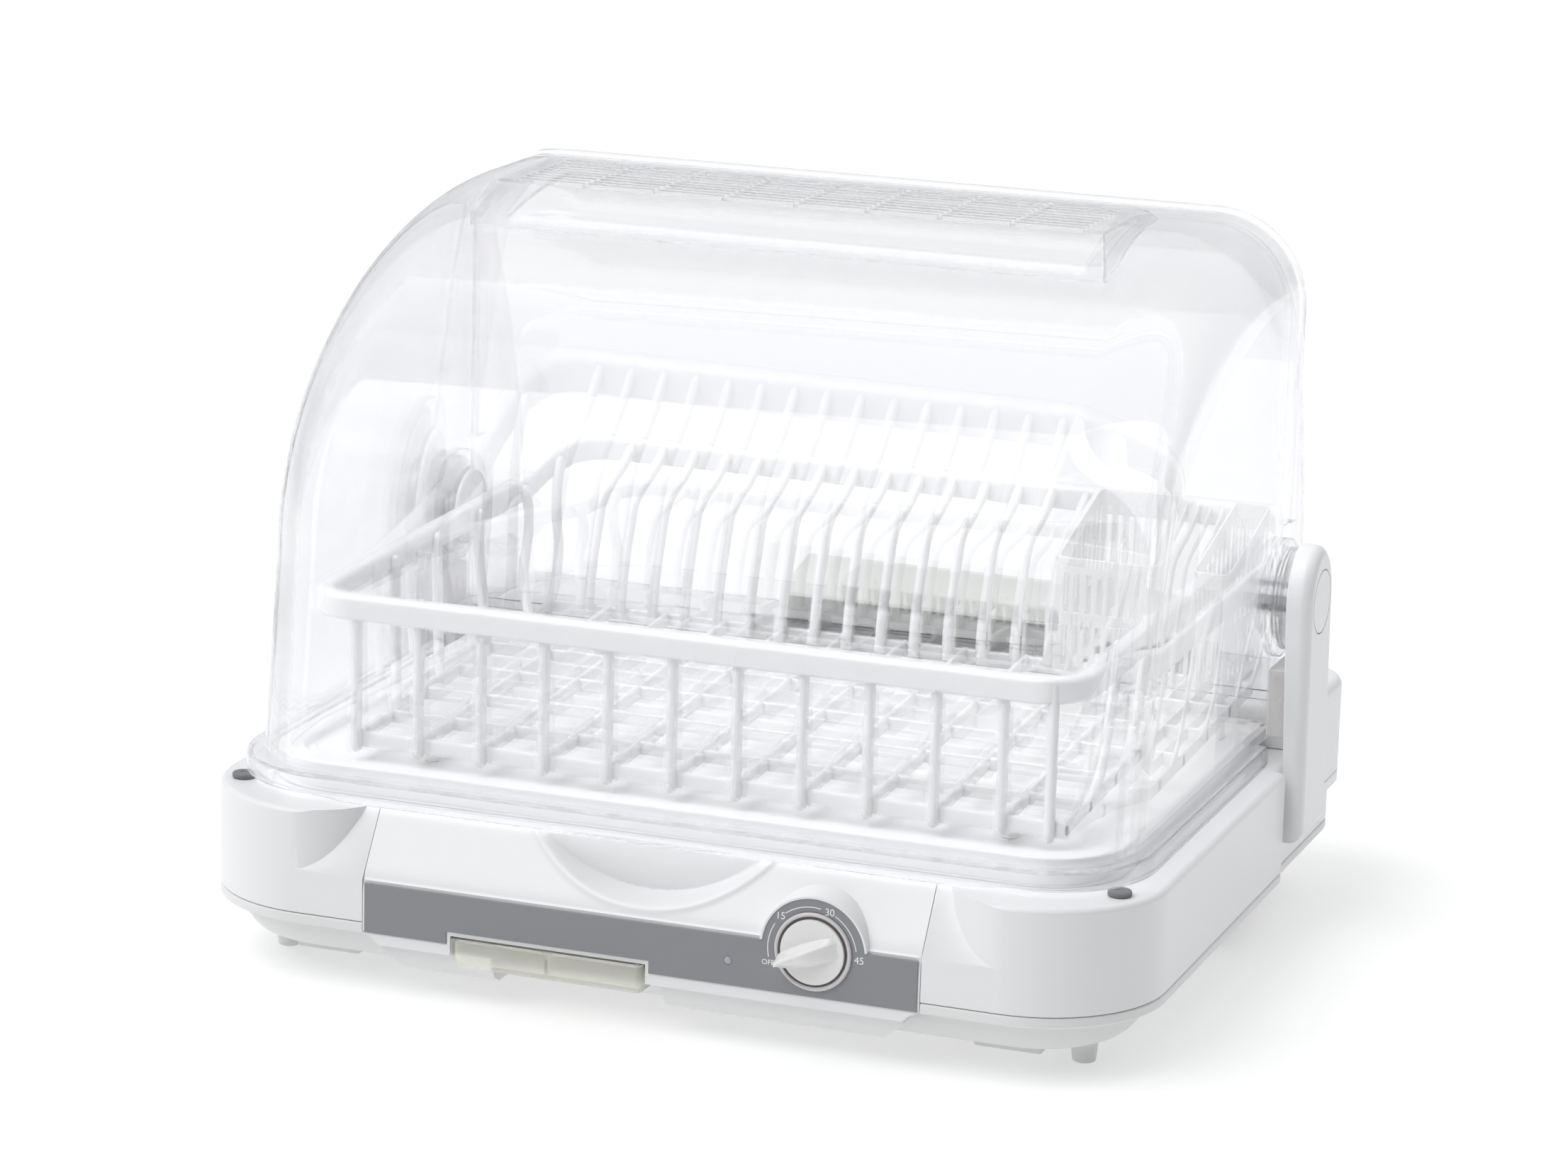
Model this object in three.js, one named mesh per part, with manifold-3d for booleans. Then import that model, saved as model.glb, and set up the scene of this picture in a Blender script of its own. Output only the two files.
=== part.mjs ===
import * as THREE from 'three';
import { mergeVertices } from 'three/addons/utils/BufferGeometryUtils.js';
import Module from 'manifold-3d';

// An electric dish dryer with a tilting clear hood, in millimetres, +Z up, front towards -Y.
// Heights are measured from the surface that it stands on, and x is zero on its middle plane.

const wasm = await Module();
wasm.setup();

// Clearances and construction values
const seatGap = 0.3;
const runningGap = 0.8;
const overrun = 20;
const weldDistance = 0.0001;
const softCorner = 6;
const arcSegments = 6;
const edgeSegments = 3;
const hoodEdgeSegments = 5;
const rimStations = 5;
const roundSides = 20;
const smallSides = 10;
const rodSides = 4;
const scoopSides = 72;

// Base body
const baseHalfWidth = 232;
const baseDepth = 389;
const baseCornerRadius = 60;
const baseWall = 2.5;
const panBottomHeight = 11;
const panTuck = 22;
const panTuckHeight = 16;
const panStripHeight = 5;
const seamHeight = 34;
const ledgeHeight = 84;
const rearBodyRadius = 25;
const rearBodyInset = 9;
const footRadius = 6.5;
const footTipRadius = 5.5;
const footSideInset = 34;
const footFrontInset = 51;
const footRearInset = 60;

// Sloping front and its two drums
const kneeHeight = 54.6;
const slopeDepth = 19;
const drumSideInset = 57;
const drumArcRadius = 36.4;
const panelSideInset = 96;
const panelBottom = 24;
const scoopRadius = 76;
const scoopBottom = 60.9;

// Dial, band and lamp
const dialSideInset = 50.4;
const dialDrop = 3.6;
const bossRadius = 31;
const bossProud = 1.2;
const dialFaceRadius = 25;
const bandSideInset = 1;
const bandBottom = 29.5;
const bandDrop = 1.2;
const bandThickness = 0.7;
const bandNotchRise = 2.8;
const lampDialGap = 40.6;
const lampHeight = 41.2;
const lampRadius = 1.9;
const lampLength = 9;
const shaftRadius = 3;
const knobRadius = 18.9;
const knobFlangeDepth = 1.2;
const knobDiscRadius = 15.2;
const knobDiscDepth = 1.8;
const knobWingDepth = 10;
const knobWingLength = 33;
const knobWingThickness = 12.8;
const knobWingTip = 3.2;
const knobPointerAngle = 200;
const timerWidth = 44;
const timerHeight = 38;
const timerDepth = 30;

// Drain drawer
const drawerSideInset = 92.5;
const drawerHalfWidth = 47.5;
const drawerBottom = 20;
const drawerTop = 32.6;
const drawerProud = 3.5;
const drawerLength = 104;
const drawerWall = 1.6;
const railWidth = 3;
const drainInset = 52;
const drainRadius = 5;

// Drain board
const boardSideGap = 14;
const boardFrontInset = 31.5;
const boardCornerRadius = 38;
const boardRise = 14;
const boardRecess = 3.3;
const boardRimWidth = 13;
const boardThickness = 2.2;

// Pillars and the hood's pivot
const pivotInset = 105.2;
const pillarOverhang = 7;
const pillarThickness = 10;
const pillarHalfDepth = 22.5;
const pillarTopRise = 27.4;
const pillarLean = 5;
const pillarSpread = 2.5;
const pillarBottom = 47;
const pillarEdgeRadius = 4;
const capRadius = 15.2;
const capDepth = 1.5;
const pinRadius = 7;
const hubRadius = 29;
const hubThickness = 5;
const washerRadius = 25;
const washerThickness = 3;
const hubCapRadius = 18.5;
const hubCapThickness = 2.6;
const bracketDepth = 28;
const bracketHeight = 34;
const bracketHubGap = 3.6;

// Front hood
const hoodWall = 2;
const hoodFootInset = 26.2;
const hoodFootDrop = 3;
const hoodShoulderInset = 39.2;
const hoodShoulderRise = 25.8;
const hoodTopHeight = 347.2;
const hoodCrestLead = 26.4;
const hoodEdgeRadius = 44;
const hoodRearReach = 24.7;
const hoodHubReach = 9.7;
const hoodHubRise = 33;
const rimSideGap = 6;
const rimWidth = 7;
const rimFrontInset = 15;
const rimCornerRadius = 52;
const rimRise = 3;
const rimDepth = 10;
const rimWall = 2.5;
const rimRearGap = 5;

// Vent strip on the hood
const ventSideInset = 71;
const ventFrontLead = 78.4;
const ventBackLead = 10.4;
const ventRise = 6.8;
const ventFlare = 14;
const ventSideFlare = 14;
const ventFrontDrop = 8;
const ventWall = 2;
const ventSlots = 9;
const ventSlotWidth = 3.6;
const ventBays = 4;
const ventBarWidth = 3.5;

// Rear hood
const rearHoodSideGap = 3.5;
const rearHoodWall = 2;
const rearHoodLag = 5.7;
const rearHoodBackInset = 7.5;
const rearHoodShoulderRise = 9.4;
const rearHoodTopGap = 1.4;
const rearHoodPower = 1.8;
const rearHoodEdgeRadius = 41;
const rearEarRadius = 20;

// Rear cover
const coverLead = 14.7;
const coverBottom = 53;
const coverRise = 9;
const coverWall = 2.5;
const coverCornerRadius = 30;
const coverPillarGap = 2;

// Fan, heater and outlet
const fanInset = 40.5;
const fanDrop = 37;
const fanRadius = 21;
const fanBladeDepth = 4;
const fanBlades = 14;
const fanBladeThickness = 1.2;
const fanDiscThickness = 1.5;
const fanShaftRadius = 2.5;
const fanEndGap = 3;
const ductLength = 184;
const ductSideInset = 102;
const ductWall = 2.5;
const ductGap = 4;
const throatHalfDepth = 14;
const ductLegWidth = 6;
const standHalfDepth = 5;
const motorLength = 34;
const motorHalfHeight = 19;
const motorBaseThickness = 4;
const heaterHeight = 8;
const heaterDrop = 4;
const heaterBars = 4;
const heaterBarWidth = 1.6;
const thermostatRadius = 5.9;
const thermostatDepth = 6;
const outletRise = 32;
const outletLipRise = 19.5;
const outletLead = 19.5;
const outletDepth = 38;
const outletWall = 1.8;
const outletVanes = 9;
const outletVaneWidth = 1.8;
const filterHalfWidth = 70;
const filterThickness = 3;
const intakeSlots = 12;
const intakeSlotWidth = 5;
const intakeBottomInset = 9;
const intakeTopInset = 11;
const terminalLength = 34;
const terminalHeight = 16;
const terminalDepth = 18;
const terminalSideInset = 82;
const glandSideInset = 52;
const glandRise = 17;
const glandRadius = 7;
const glandBore = 3.5;
const glandFlange = 2;
const glandNeck = 5;
const bumperLead = 22;
const bumperRadius = 5.5;

// Dish basket
const basketSideGap = 17;
const basketFrontInset = 47;
const basketBackInset = 44;
const basketFrontRadius = 25;
const basketBackRadius = 40;
const basketRimThickness = 9;
const basketRimHeight = 12;
const basketDepth = 69.5;
const basketRimClimb = 4;
const basketRearClimb = 16.5;
const basketRiseStartInset = 43.5;
const basketRiseEndInset = 3.5;
const rodRadius = 2.6;
const barRadius = 2.2;
const frontRodLeftInset = 28.1;
const frontRodRightInset = 37.9;
const frontRods = 11;
const lastFrontRodInset = 15;
const floorRise = 11.3;
const floorClimb = 12;
const floorBackInset = 60.5;
const floorRightInset = 9;
const floorCrossBars = 7;
const crossBarRadius = 1.9;
const crossBarDrop = 0.7;
const rearRodLeftInset = 49.5;
const rearRodRightInset = 89.5;
const rearRods = 15;
const rearRodShoulderInset = 46.5;
const rearRodShoulderDrop = 6.5;
const sideRodFrontInset = 47;
const sideRodBackInset = 101;
const sideRods = 4;
const basketFootRadius = 4;

// Cutlery basket
const cutlerySideInset = 54;
const cutleryHalfWidth = 26;
const cutleryLength = 71.5;
const cutleryFrontDrop = 0.5;
const cutleryBackRise = 3;
const cutleryWall = 1.6;
const cutleryRimWidth = 1.4;
const cutleryRimHeight = 6;
const cutlerySlots = 5;
const cutlerySlotWidth = 4;
const cutleryMargin = 9;
const cutleryBand = 7;

// Places that follow from the sizes: the base and its front
const baseFront = -baseDepth / 2;
const baseBack = baseDepth / 2;
const slopeTopY = baseFront + slopeDepth;
const slopeAngle = Math.atan2(slopeDepth, ledgeHeight - kneeHeight);
const rearBodyBack = baseBack - rearBodyInset;
const panFloor = panBottomHeight + baseWall;
const footSide = baseHalfWidth - footSideInset;
const drumStart = baseHalfWidth - drumSideInset;
const panelHalfWidth = baseHalfWidth - panelSideInset;
const bandHalfWidth = panelHalfWidth - bandSideInset;
const bandTop = kneeHeight - bandDrop;
const bandNotchHeight = drawerTop + bandNotchRise;
const dialX = panelHalfWidth - dialSideInset;
const dialHeight = kneeHeight - dialDrop;
const lampX = dialX - lampDialGap;
const drawerMiddle = -(panelHalfWidth - drawerSideInset);
const drainY = baseFront + drainInset;

// The board, the pillars and the hoods
const boardTop = ledgeHeight + boardRise;
const bracketTop = boardTop + bracketHeight;
const pivotHeight = bracketTop + bracketHubGap + hubRadius;
const pivotY = baseBack - pivotInset;
const pillarOutside = baseHalfWidth + pillarOverhang;
const pillarInside = pillarOutside - pillarThickness;
const pillarFrontTop = pivotY - pillarHalfDepth;
const sideInside = pillarInside - seatGap;
const rimHalfWidth = pillarInside - rimSideGap;
const rimBottom = ledgeHeight + rimRise;
const rimTop = rimBottom + rimDepth;
const rimBack = pillarFrontTop - rimRearGap;
const hoodHalfWidth = rimHalfWidth - rimWidth;
const hoodFootHeight = rimTop - hoodFootDrop;
const hoodFootY = baseFront + hoodFootInset;
const hoodShoulderY = baseFront + hoodShoulderInset;
const hoodShoulderHeight = pivotHeight + hoodShoulderRise;
const hoodArcY = pivotY - hoodCrestLead;
const hoodArcLength = hoodArcY - hoodShoulderY;
const hoodArcRise = hoodTopHeight - hoodShoulderHeight;
const hoodRearEdge = pivotY + hoodRearReach;
const ventHalfWidth = hoodHalfWidth - ventSideInset;
const ventFront = hoodArcY - ventFrontLead;
const ventBack = hoodArcY - ventBackLead;
const ventTop = hoodTopHeight + ventRise;
const rearHoodHalfWidth = hoodHalfWidth - rearHoodSideGap;
const rearHoodFront = pivotY + rearHoodLag;
const rearHoodReach = baseBack - rearHoodBackInset - rearHoodFront;
const rearHoodShoulder = pivotHeight + rearHoodShoulderRise;
const rearHoodRise = hoodTopHeight - hoodWall - rearHoodTopGap - rearHoodShoulder;
const boardHalfWidth = rimHalfWidth - boardSideGap;
const boardFloor = boardTop - boardRecess;
const bumperX = boardHalfWidth + runningGap + bumperRadius;
const bumperY = baseFront + rimFrontInset + bumperLead;

// The rear cover and what is under it
const coverFront = pivotY + coverLead;
const coverStep = pivotY + pillarHalfDepth + pillarSpread + pillarLean + coverPillarGap;
const coverTop = boardTop + coverRise;
const fanY = baseBack - fanInset;
const fanHeight = coverTop - fanDrop;
const ductRight = baseHalfWidth - ductSideInset;
const ductLeft = ductRight - ductLength;
const ductTop = coverTop - coverWall - seatGap;
const throatFront = fanY - throatHalfDepth;
const throatBack = fanY + throatHalfDepth;
const standY = fanY - 2 * standHalfDepth;
const outletFront = fanY - outletLead;
const outletTop = coverTop + outletRise;
const outletLip = coverTop + outletLipRise;
const intakeBottom = coverBottom + intakeBottomInset;
const intakeTop = coverTop - intakeTopInset;
const terminalX = -(baseHalfWidth - terminalSideInset);
const glandX = -(baseHalfWidth - glandSideInset);
const glandHeight = coverBottom + glandRise;

// The baskets
const basketHalfWidth = boardHalfWidth - basketSideGap;
const basketFront = baseFront + basketFrontInset;
const basketBack = baseBack - basketBackInset;
const basketRiseStart = basketBack - basketRiseStartInset;
const basketRiseEnd = basketBack - basketRiseEndInset;
const floorBack = basketBack - floorBackInset;
const floorRight = basketHalfWidth - floorRightInset;
const floorFrontHeight = boardFloor + floorRise;
const floorBackHeight = floorFrontHeight + floorClimb;
const basketRimFront = floorFrontHeight + basketDepth;
const basketRimMiddle = basketRimFront + basketRimClimb;
const basketRimBack = basketRimMiddle + basketRearClimb;
const frontRodStart = -(basketHalfWidth - frontRodLeftInset);
const frontRodPitch = (basketHalfWidth - frontRodRightInset - frontRodStart) / (frontRods - 1);
const lastFrontRod = basketHalfWidth - lastFrontRodInset;
const rearRodStart = -(basketHalfWidth - rearRodLeftInset);
const rearRodPitch = (basketHalfWidth - rearRodRightInset - rearRodStart) / (rearRods - 1);
const rearRodShoulderY = basketBack - rearRodShoulderInset;
const rearRodShoulderHeight = basketRimMiddle - rearRodShoulderDrop;
const sideRodStart = basketFront + sideRodFrontInset;
const sideRodPitch = (basketBack - sideRodBackInset - sideRodStart) / (sideRods - 1);
const cutleryMiddle = basketHalfWidth - cutlerySideInset;
const cutleryBack = outletFront - runningGap;
const cutleryFront = cutleryBack - cutleryLength;
const cutleryRimFront = basketRimMiddle - cutleryFrontDrop;
const cutleryRimBack = basketRimBack + cutleryBackRise;
const cutleryBottom = floorBackHeight + barRadius + seatGap;

// Half of the whole depth lies on each side of the origin
const knobFront = baseFront - bandThickness - seatGap - knobWingDepth;
const overallShift = -(knobFront + baseBack) / 2;

// Finishes
const plastic = (color, roughness) => new THREE.MeshStandardMaterial({ color, roughness, metalness: 0 });
const white = plastic(0xf1f2f3, 0.38);
const innerWhite = plastic(0xf5f5f4, 0.45);
const basketWhite = plastic(0xf4f4f2, 0.35);
const milky = plastic(0xeef0ef, 0.3);
const grey = plastic(0x868a90, 0.5);
const outletGreen = plastic(0xc3cabd, 0.45);
const rubber = plastic(0x8c9092, 0.8);
const black = plastic(0x2a2b2d, 0.6);
const tinted = plastic(0xb9aea6, 0.3);
const steel = new THREE.MeshStandardMaterial({ color: 0xb8bcc0, roughness: 0.3, metalness: 1 });
const clear = new THREE.MeshStandardMaterial({
  color: 0xe9eef2, roughness: 0.06, metalness: 0, transparent: true, opacity: 0.35,
});
const clearYellow = new THREE.MeshStandardMaterial({
  color: 0xe3e2cf, roughness: 0.1, metalness: 0, transparent: true, opacity: 0.5,
});

// A closed geometry as a solid that can be joined and cut
function solid(geometry) {
  const plain = geometry.index ? geometry.toNonIndexed() : geometry.clone();
  plain.deleteAttribute('normal');
  plain.deleteAttribute('uv');
  const merged = mergeVertices(plain, weldDistance);
  return new wasm.Manifold(new wasm.Mesh({
    numProp: 3,
    vertProperties: Float32Array.from(merged.attributes.position.array),
    triVerts: Uint32Array.from(merged.index.array),
  }));
}

function join(...solids) {
  return solids.reduce((whole, next) => whole.add(next));
}

function cut(whole, ...tools) {
  return tools.reduce((rest, tool) => rest.subtract(tool), whole);
}

// A geometry of a finished solid, with flat normals
function surface(whole) {
  const mesh = whole.getMesh();
  const geometry = new THREE.BufferGeometry();
  geometry.setAttribute('position', new THREE.BufferAttribute(mesh.vertProperties, 3));
  geometry.setIndex(new THREE.BufferAttribute(mesh.triVerts, 1));
  geometry.computeVertexNormals();
  return geometry;
}

function extrude(shape, depth, bevel, curveSegments, bevelSegments) {
  return new THREE.ExtrudeGeometry(shape, {
    depth: depth - 2 * bevel,
    bevelEnabled: bevel > 0,
    bevelThickness: bevel,
    bevelSize: bevel,
    bevelOffset: -bevel,
    bevelSegments,
    curveSegments,
  }).translate(0, 0, bevel);
}

// Extrusions of a shape drawn in (x, y), in (y, z) and in (x, z)
function alongZ(shape, low, high, bevel = 0) {
  return solid(extrude(shape, high - low, bevel, arcSegments, edgeSegments).translate(0, 0, low));
}

function alongX(shape, left, right, bevel = 0, curveSegments = arcSegments, bevelSegments = edgeSegments) {
  const turn = new THREE.Matrix4().makeBasis(
    new THREE.Vector3(0, 1, 0), new THREE.Vector3(0, 0, 1), new THREE.Vector3(1, 0, 0),
  );
  const geometry = extrude(shape, right - left, bevel, curveSegments, bevelSegments).applyMatrix4(turn);
  return solid(geometry.translate(left, 0, 0));
}

function alongY(shape, front, back) {
  const turn = new THREE.Matrix4().makeBasis(
    new THREE.Vector3(1, 0, 0), new THREE.Vector3(0, 0, 1), new THREE.Vector3(0, -1, 0),
  );
  const geometry = extrude(shape, back - front, 0, arcSegments, 0).applyMatrix4(turn);
  return solid(geometry.translate(0, back, 0));
}

function box(left, right, front, back, low, high) {
  const geometry = new THREE.BoxGeometry(right - left, back - front, high - low);
  return solid(geometry.translate((left + right) / 2, (front + back) / 2, (low + high) / 2));
}

function polygon(points) {
  return new THREE.Shape(points.map(([u, v]) => new THREE.Vector2(u, v)));
}

// Round rods along each axis, between two places on it
function rodAlongX(y, z, radius, left, right, sides = roundSides) {
  const geometry = new THREE.CylinderGeometry(radius, radius, right - left, sides);
  return solid(geometry.rotateZ(-Math.PI / 2).translate((left + right) / 2, y, z));
}

function rodAlongY(x, z, radius, front, back, sides = roundSides) {
  const geometry = new THREE.CylinderGeometry(radius, radius, back - front, sides);
  return solid(geometry.translate(x, (front + back) / 2, z));
}

function rodAlongZ(x, y, radius, low, high, sides = roundSides, lowRadius = radius) {
  const geometry = new THREE.CylinderGeometry(radius, lowRadius, high - low, sides);
  return solid(geometry.rotateX(Math.PI / 2).translate(x, y, (low + high) / 2));
}

// A rod between two points
function strut(from, to, radius, sides = rodSides) {
  const start = new THREE.Vector3(...from);
  const run = new THREE.Vector3(...to).sub(start);
  const geometry = new THREE.CylinderGeometry(radius, radius, run.length(), sides);
  const turn = new THREE.Quaternion().setFromUnitVectors(
    new THREE.Vector3(0, 1, 0), run.clone().normalize(),
  );
  const middle = start.clone().addScaledVector(run, 1 / 2);
  return solid(geometry.applyQuaternion(turn).translate(middle.x, middle.y, middle.z));
}

// A rectangle in plan with its own radius at the front and the back corners
function roundedPlan(halfWidth, front, back, frontRadius, backRadius) {
  const shape = new THREE.Shape();
  const quarter = Math.PI / 2;
  shape.moveTo(-halfWidth + frontRadius, front);
  shape.lineTo(halfWidth - frontRadius, front);
  shape.absarc(halfWidth - frontRadius, front + frontRadius, frontRadius, -quarter, 0, false);
  shape.lineTo(halfWidth, back - backRadius);
  shape.absarc(halfWidth - backRadius, back - backRadius, backRadius, 0, quarter, false);
  shape.lineTo(-halfWidth + backRadius, back);
  shape.absarc(-halfWidth + backRadius, back - backRadius, backRadius, quarter, 2 * quarter, false);
  shape.lineTo(-halfWidth, front + frontRadius);
  shape.absarc(-halfWidth + frontRadius, front + frontRadius, frontRadius, 2 * quarter, 3 * quarter, false);
  return shape;
}

// The base's plan: full width in front of the pillars, narrower between and behind them
function basePlan(inset, low, high) {
  const wide = roundedPlan(
    baseHalfWidth - inset, baseFront + inset, pillarFrontTop - inset - seatGap,
    baseCornerRadius - inset, softCorner,
  );
  const narrow = roundedPlan(
    sideInside - seatGap - inset, baseFront + baseCornerRadius, rearBodyBack - inset,
    softCorner, rearBodyRadius - inset,
  );
  return join(alongZ(wide, low, high), alongZ(narrow, low, high));
}

// The room in front of the slope, between the two drums, set back by a wall
function niche(inset) {
  const radius = drumArcRadius - inset;
  const sweep = Math.acos((drumArcRadius - slopeDepth - inset) / radius);
  const ahead = -Math.PI / 2;
  const outline = new THREE.Shape();
  outline.moveTo(drumStart, baseFront - overrun);
  outline.lineTo(drumStart, baseFront + inset);
  outline.absarc(drumStart, baseFront + drumArcRadius, radius, ahead, ahead - sweep, true);
  outline.absarc(-drumStart, baseFront + drumArcRadius, radius, ahead + sweep, ahead, true);
  outline.lineTo(-drumStart, baseFront - overrun);
  const reach = slopeDepth / (ledgeHeight - kneeHeight);
  const knee = kneeHeight - inset * Math.tan(slopeAngle / 2);
  const top = ledgeHeight + overrun;
  const front = polygon([
    [baseFront - 2 * overrun, knee],
    [baseFront + inset, knee],
    [baseFront + inset + reach * (top - knee), top],
    [baseFront - 2 * overrun, top],
  ]);
  const tower = alongZ(outline, kneeHeight - overrun, top + overrun);
  return tower.intersect(alongX(front, -baseHalfWidth, baseHalfWidth));
}

function makeLowerPan() {
  const top = seamHeight - seatGap;
  const stripLow = top - panStripHeight;
  const tucked = (inset, low) => alongZ(
    roundedPlan(baseHalfWidth - inset, baseFront + inset, rearBodyBack - inset, baseCornerRadius - inset,
      rearBodyRadius), low, top + 2 * panTuckHeight, panTuckHeight,
  );
  const above = box(-baseHalfWidth - overrun, baseHalfWidth + overrun, baseFront - overrun,
    baseBack + overrun, top, top + 4 * panTuckHeight);
  const shell = cut(
    join(basePlan(0, stripLow, top + overrun), tucked(panTuck / 2, panBottomHeight)),
    tucked(panTuck / 2 + baseWall, panFloor),
    basePlan(baseWall, stripLow + baseWall, top + 2 * overrun),
    above,
  );
  const drawerLeft = drawerMiddle - drawerHalfWidth;
  const drawerRight = drawerMiddle + drawerHalfWidth;
  const railTop = drawerBottom - seatGap;
  const railLow = panFloor - baseWall / 2;
  const railBack = baseFront - drawerProud + drawerLength + railWidth;
  const railFront = baseFront + panTuck + railWidth;
  const rails = [drawerLeft + railWidth, drawerRight - 2 * railWidth].map((left) => (
    box(left, left + railWidth, railFront, railBack, railLow, railTop)
  ));
  const guides = [drawerLeft - runningGap - railWidth, drawerRight + runningGap].map((left) => (
    box(left, left + railWidth, railFront, railBack, railLow, drawerTop - runningGap)
  ));
  const stop = box(drawerLeft + railWidth / 2, drawerRight - railWidth / 2, railBack - railWidth + runningGap,
    railBack + railWidth, railLow, drawerTop);
  return cut(
    join(shell, ...rails, ...guides, stop),
    box(-panelHalfWidth - seatGap, panelHalfWidth + seatGap, baseFront - overrun,
      baseFront + baseWall + seatGap, panelBottom - seatGap, seamHeight + overrun),
    box(drawerLeft - runningGap, drawerRight + runningGap, baseFront - overrun,
      railFront - railWidth / 2, railTop, seamHeight + overrun),
  );
}

function makeUpperHousing() {
  const low = seamHeight;
  const outer = cut(basePlan(0, low - overrun, ledgeHeight), niche(0));
  const room = cut(basePlan(baseWall, low - 2 * overrun, ledgeHeight - baseWall), niche(baseWall));
  const window = box(-panelHalfWidth - seatGap, panelHalfWidth + seatGap, baseFront - overrun,
    slopeTopY + seatGap, low - overrun, ledgeHeight + overrun);
  const below = box(-baseHalfWidth - overrun, baseHalfWidth + overrun, baseFront - overrun,
    baseBack + overrun, low - 2 * overrun, low);
  const spout = rodAlongZ(drawerMiddle, drainY, drainRadius + 2 * baseWall, low, ledgeHeight + overrun,
    smallSides);
  const fanRoom = box(ductLeft - 2 * baseWall, ductRight + motorLength + 4 * baseWall,
    coverFront + 2 * baseWall, rearBodyBack - 2 * baseWall, ledgeHeight - 2 * baseWall,
    ledgeHeight + overrun);
  return cut(outer, room, window, below, spout, fanRoom);
}

// The panel's section, set in by a wall from its two front faces
function panelSection(inset, back, low) {
  const reach = slopeDepth / (ledgeHeight - kneeHeight);
  const knee = kneeHeight - inset * Math.tan(slopeAngle / 2);
  const rise = (back - baseFront - inset) / reach;
  return polygon([
    [baseFront + inset, low], [baseFront + inset, knee], [back, knee + rise], [back, low],
  ]);
}

function makeFrontPanel() {
  const half = panelHalfWidth;
  const block = alongX(panelSection(0, slopeTopY, panelBottom), -half, half);
  const room = alongX(
    panelSection(baseWall, slopeTopY + overrun, panelBottom - overrun), -half + baseWall, half - baseWall,
  );
  const scoopHeight = scoopBottom + scoopRadius;
  const pocket = rodAlongY(0, scoopHeight, scoopRadius + baseWall, baseFront, slopeTopY, scoopSides);
  const scoop = rodAlongY(0, scoopHeight, scoopRadius, baseFront - overrun, slopeTopY - baseWall, scoopSides);
  const bossFront = baseFront - bossProud;
  const boss = rodAlongY(dialX, dialHeight, bossRadius, bossFront, slopeTopY)
    .intersect(box(-half, half, bossFront - overrun, slopeTopY, bandTop, ledgeHeight));
  const bossRoom = rodAlongY(dialX, dialHeight, bossRadius - baseWall, baseFront + baseWall,
    slopeTopY + overrun);
  const bandBack = baseFront + seatGap;
  const bandRecess = join(
    box(-bandHalfWidth - seatGap / 2, bandHalfWidth + seatGap / 2, baseFront - overrun, bandBack,
      bandBottom - seatGap, bandTop + seatGap),
    rodAlongY(dialX, dialHeight, dialFaceRadius + seatGap, baseFront - overrun, bandBack)
      .intersect(box(-half, half, baseFront - 2 * overrun, slopeTopY, dialHeight, ledgeHeight)),
  );
  const drawerNotch = box(drawerMiddle - drawerHalfWidth - runningGap,
    drawerMiddle + drawerHalfWidth + runningGap, baseFront - overrun, slopeTopY + overrun,
    panelBottom - overrun, drawerTop + runningGap);
  const shaftHole = rodAlongY(dialX, dialHeight, shaftRadius + runningGap, baseFront - overrun,
    slopeTopY + overrun, smallSides);
  const lampHole = rodAlongY(lampX, lampHeight, lampRadius + seatGap, baseFront - overrun,
    slopeTopY + overrun, smallSides);
  const panRoom = box(-half - overrun, half + overrun, baseFront + baseWall, slopeTopY + overrun,
    panelBottom - overrun, seamHeight);
  return cut(
    join(cut(block, room), pocket.intersect(block), cut(boss, bossRoom)),
    scoop, bossRoom, panRoom, bandRecess, drawerNotch, shaftHole, lampHole,
  );
}

function makeControlBand() {
  const front = baseFront - bandThickness;
  const strip = box(-bandHalfWidth, bandHalfWidth, front, baseFront, bandBottom, bandTop);
  const face = rodAlongY(dialX, dialHeight, dialFaceRadius, front, baseFront)
    .intersect(box(-bandHalfWidth, bandHalfWidth, front - overrun, baseFront + overrun, dialHeight,
      ledgeHeight));
  const notch = box(drawerMiddle - drawerHalfWidth - baseWall, drawerMiddle + drawerHalfWidth + baseWall,
    front - overrun, baseFront + overrun, bandBottom - overrun, bandNotchHeight);
  const shaftHole = rodAlongY(dialX, dialHeight, shaftRadius + runningGap, front - overrun,
    baseFront + overrun, smallSides);
  const lampHole = rodAlongY(lampX, lampHeight, lampRadius + seatGap, front - overrun,
    baseFront + overrun, smallSides);
  return cut(join(strip, face), notch, shaftHole, lampHole);
}

function makeTimerKnob() {
  const back = baseFront - bandThickness - seatGap;
  const flange = rodAlongY(0, 0, knobRadius, back - knobFlangeDepth, back);
  const puck = rodAlongY(0, 0, knobDiscRadius, back - knobDiscDepth, back - knobFlangeDepth / 2);
  const half = knobWingLength / 2;
  const bulge = knobWingThickness - knobWingTip / 4;
  const wing = new THREE.Shape();
  wing.moveTo(-half + knobWingTip, -knobWingTip / 2);
  wing.quadraticCurveTo(-half, 0, -half + knobWingTip, knobWingTip / 2);
  wing.quadraticCurveTo(0, bulge, half, 0);
  wing.quadraticCurveTo(0, -bulge, -half + knobWingTip, -knobWingTip / 2);
  const fin = alongY(wing, back - knobWingDepth, back - knobFlangeDepth / 3);
  const bore = rodAlongY(0, 0, shaftRadius + seatGap, back - knobWingDepth / 2, back + overrun, smallSides);
  const turn = 180 - knobPointerAngle;
  return cut(join(flange, puck, fin), bore).rotate([0, turn, 0]).translate([dialX, 0, dialHeight]);
}

function makeTimerShaft() {
  const back = baseFront + baseWall + timerDepth / 2;
  const front = baseFront - bandThickness - knobWingDepth / 2;
  return rodAlongY(dialX, dialHeight, shaftRadius, front, back, smallSides);
}

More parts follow.
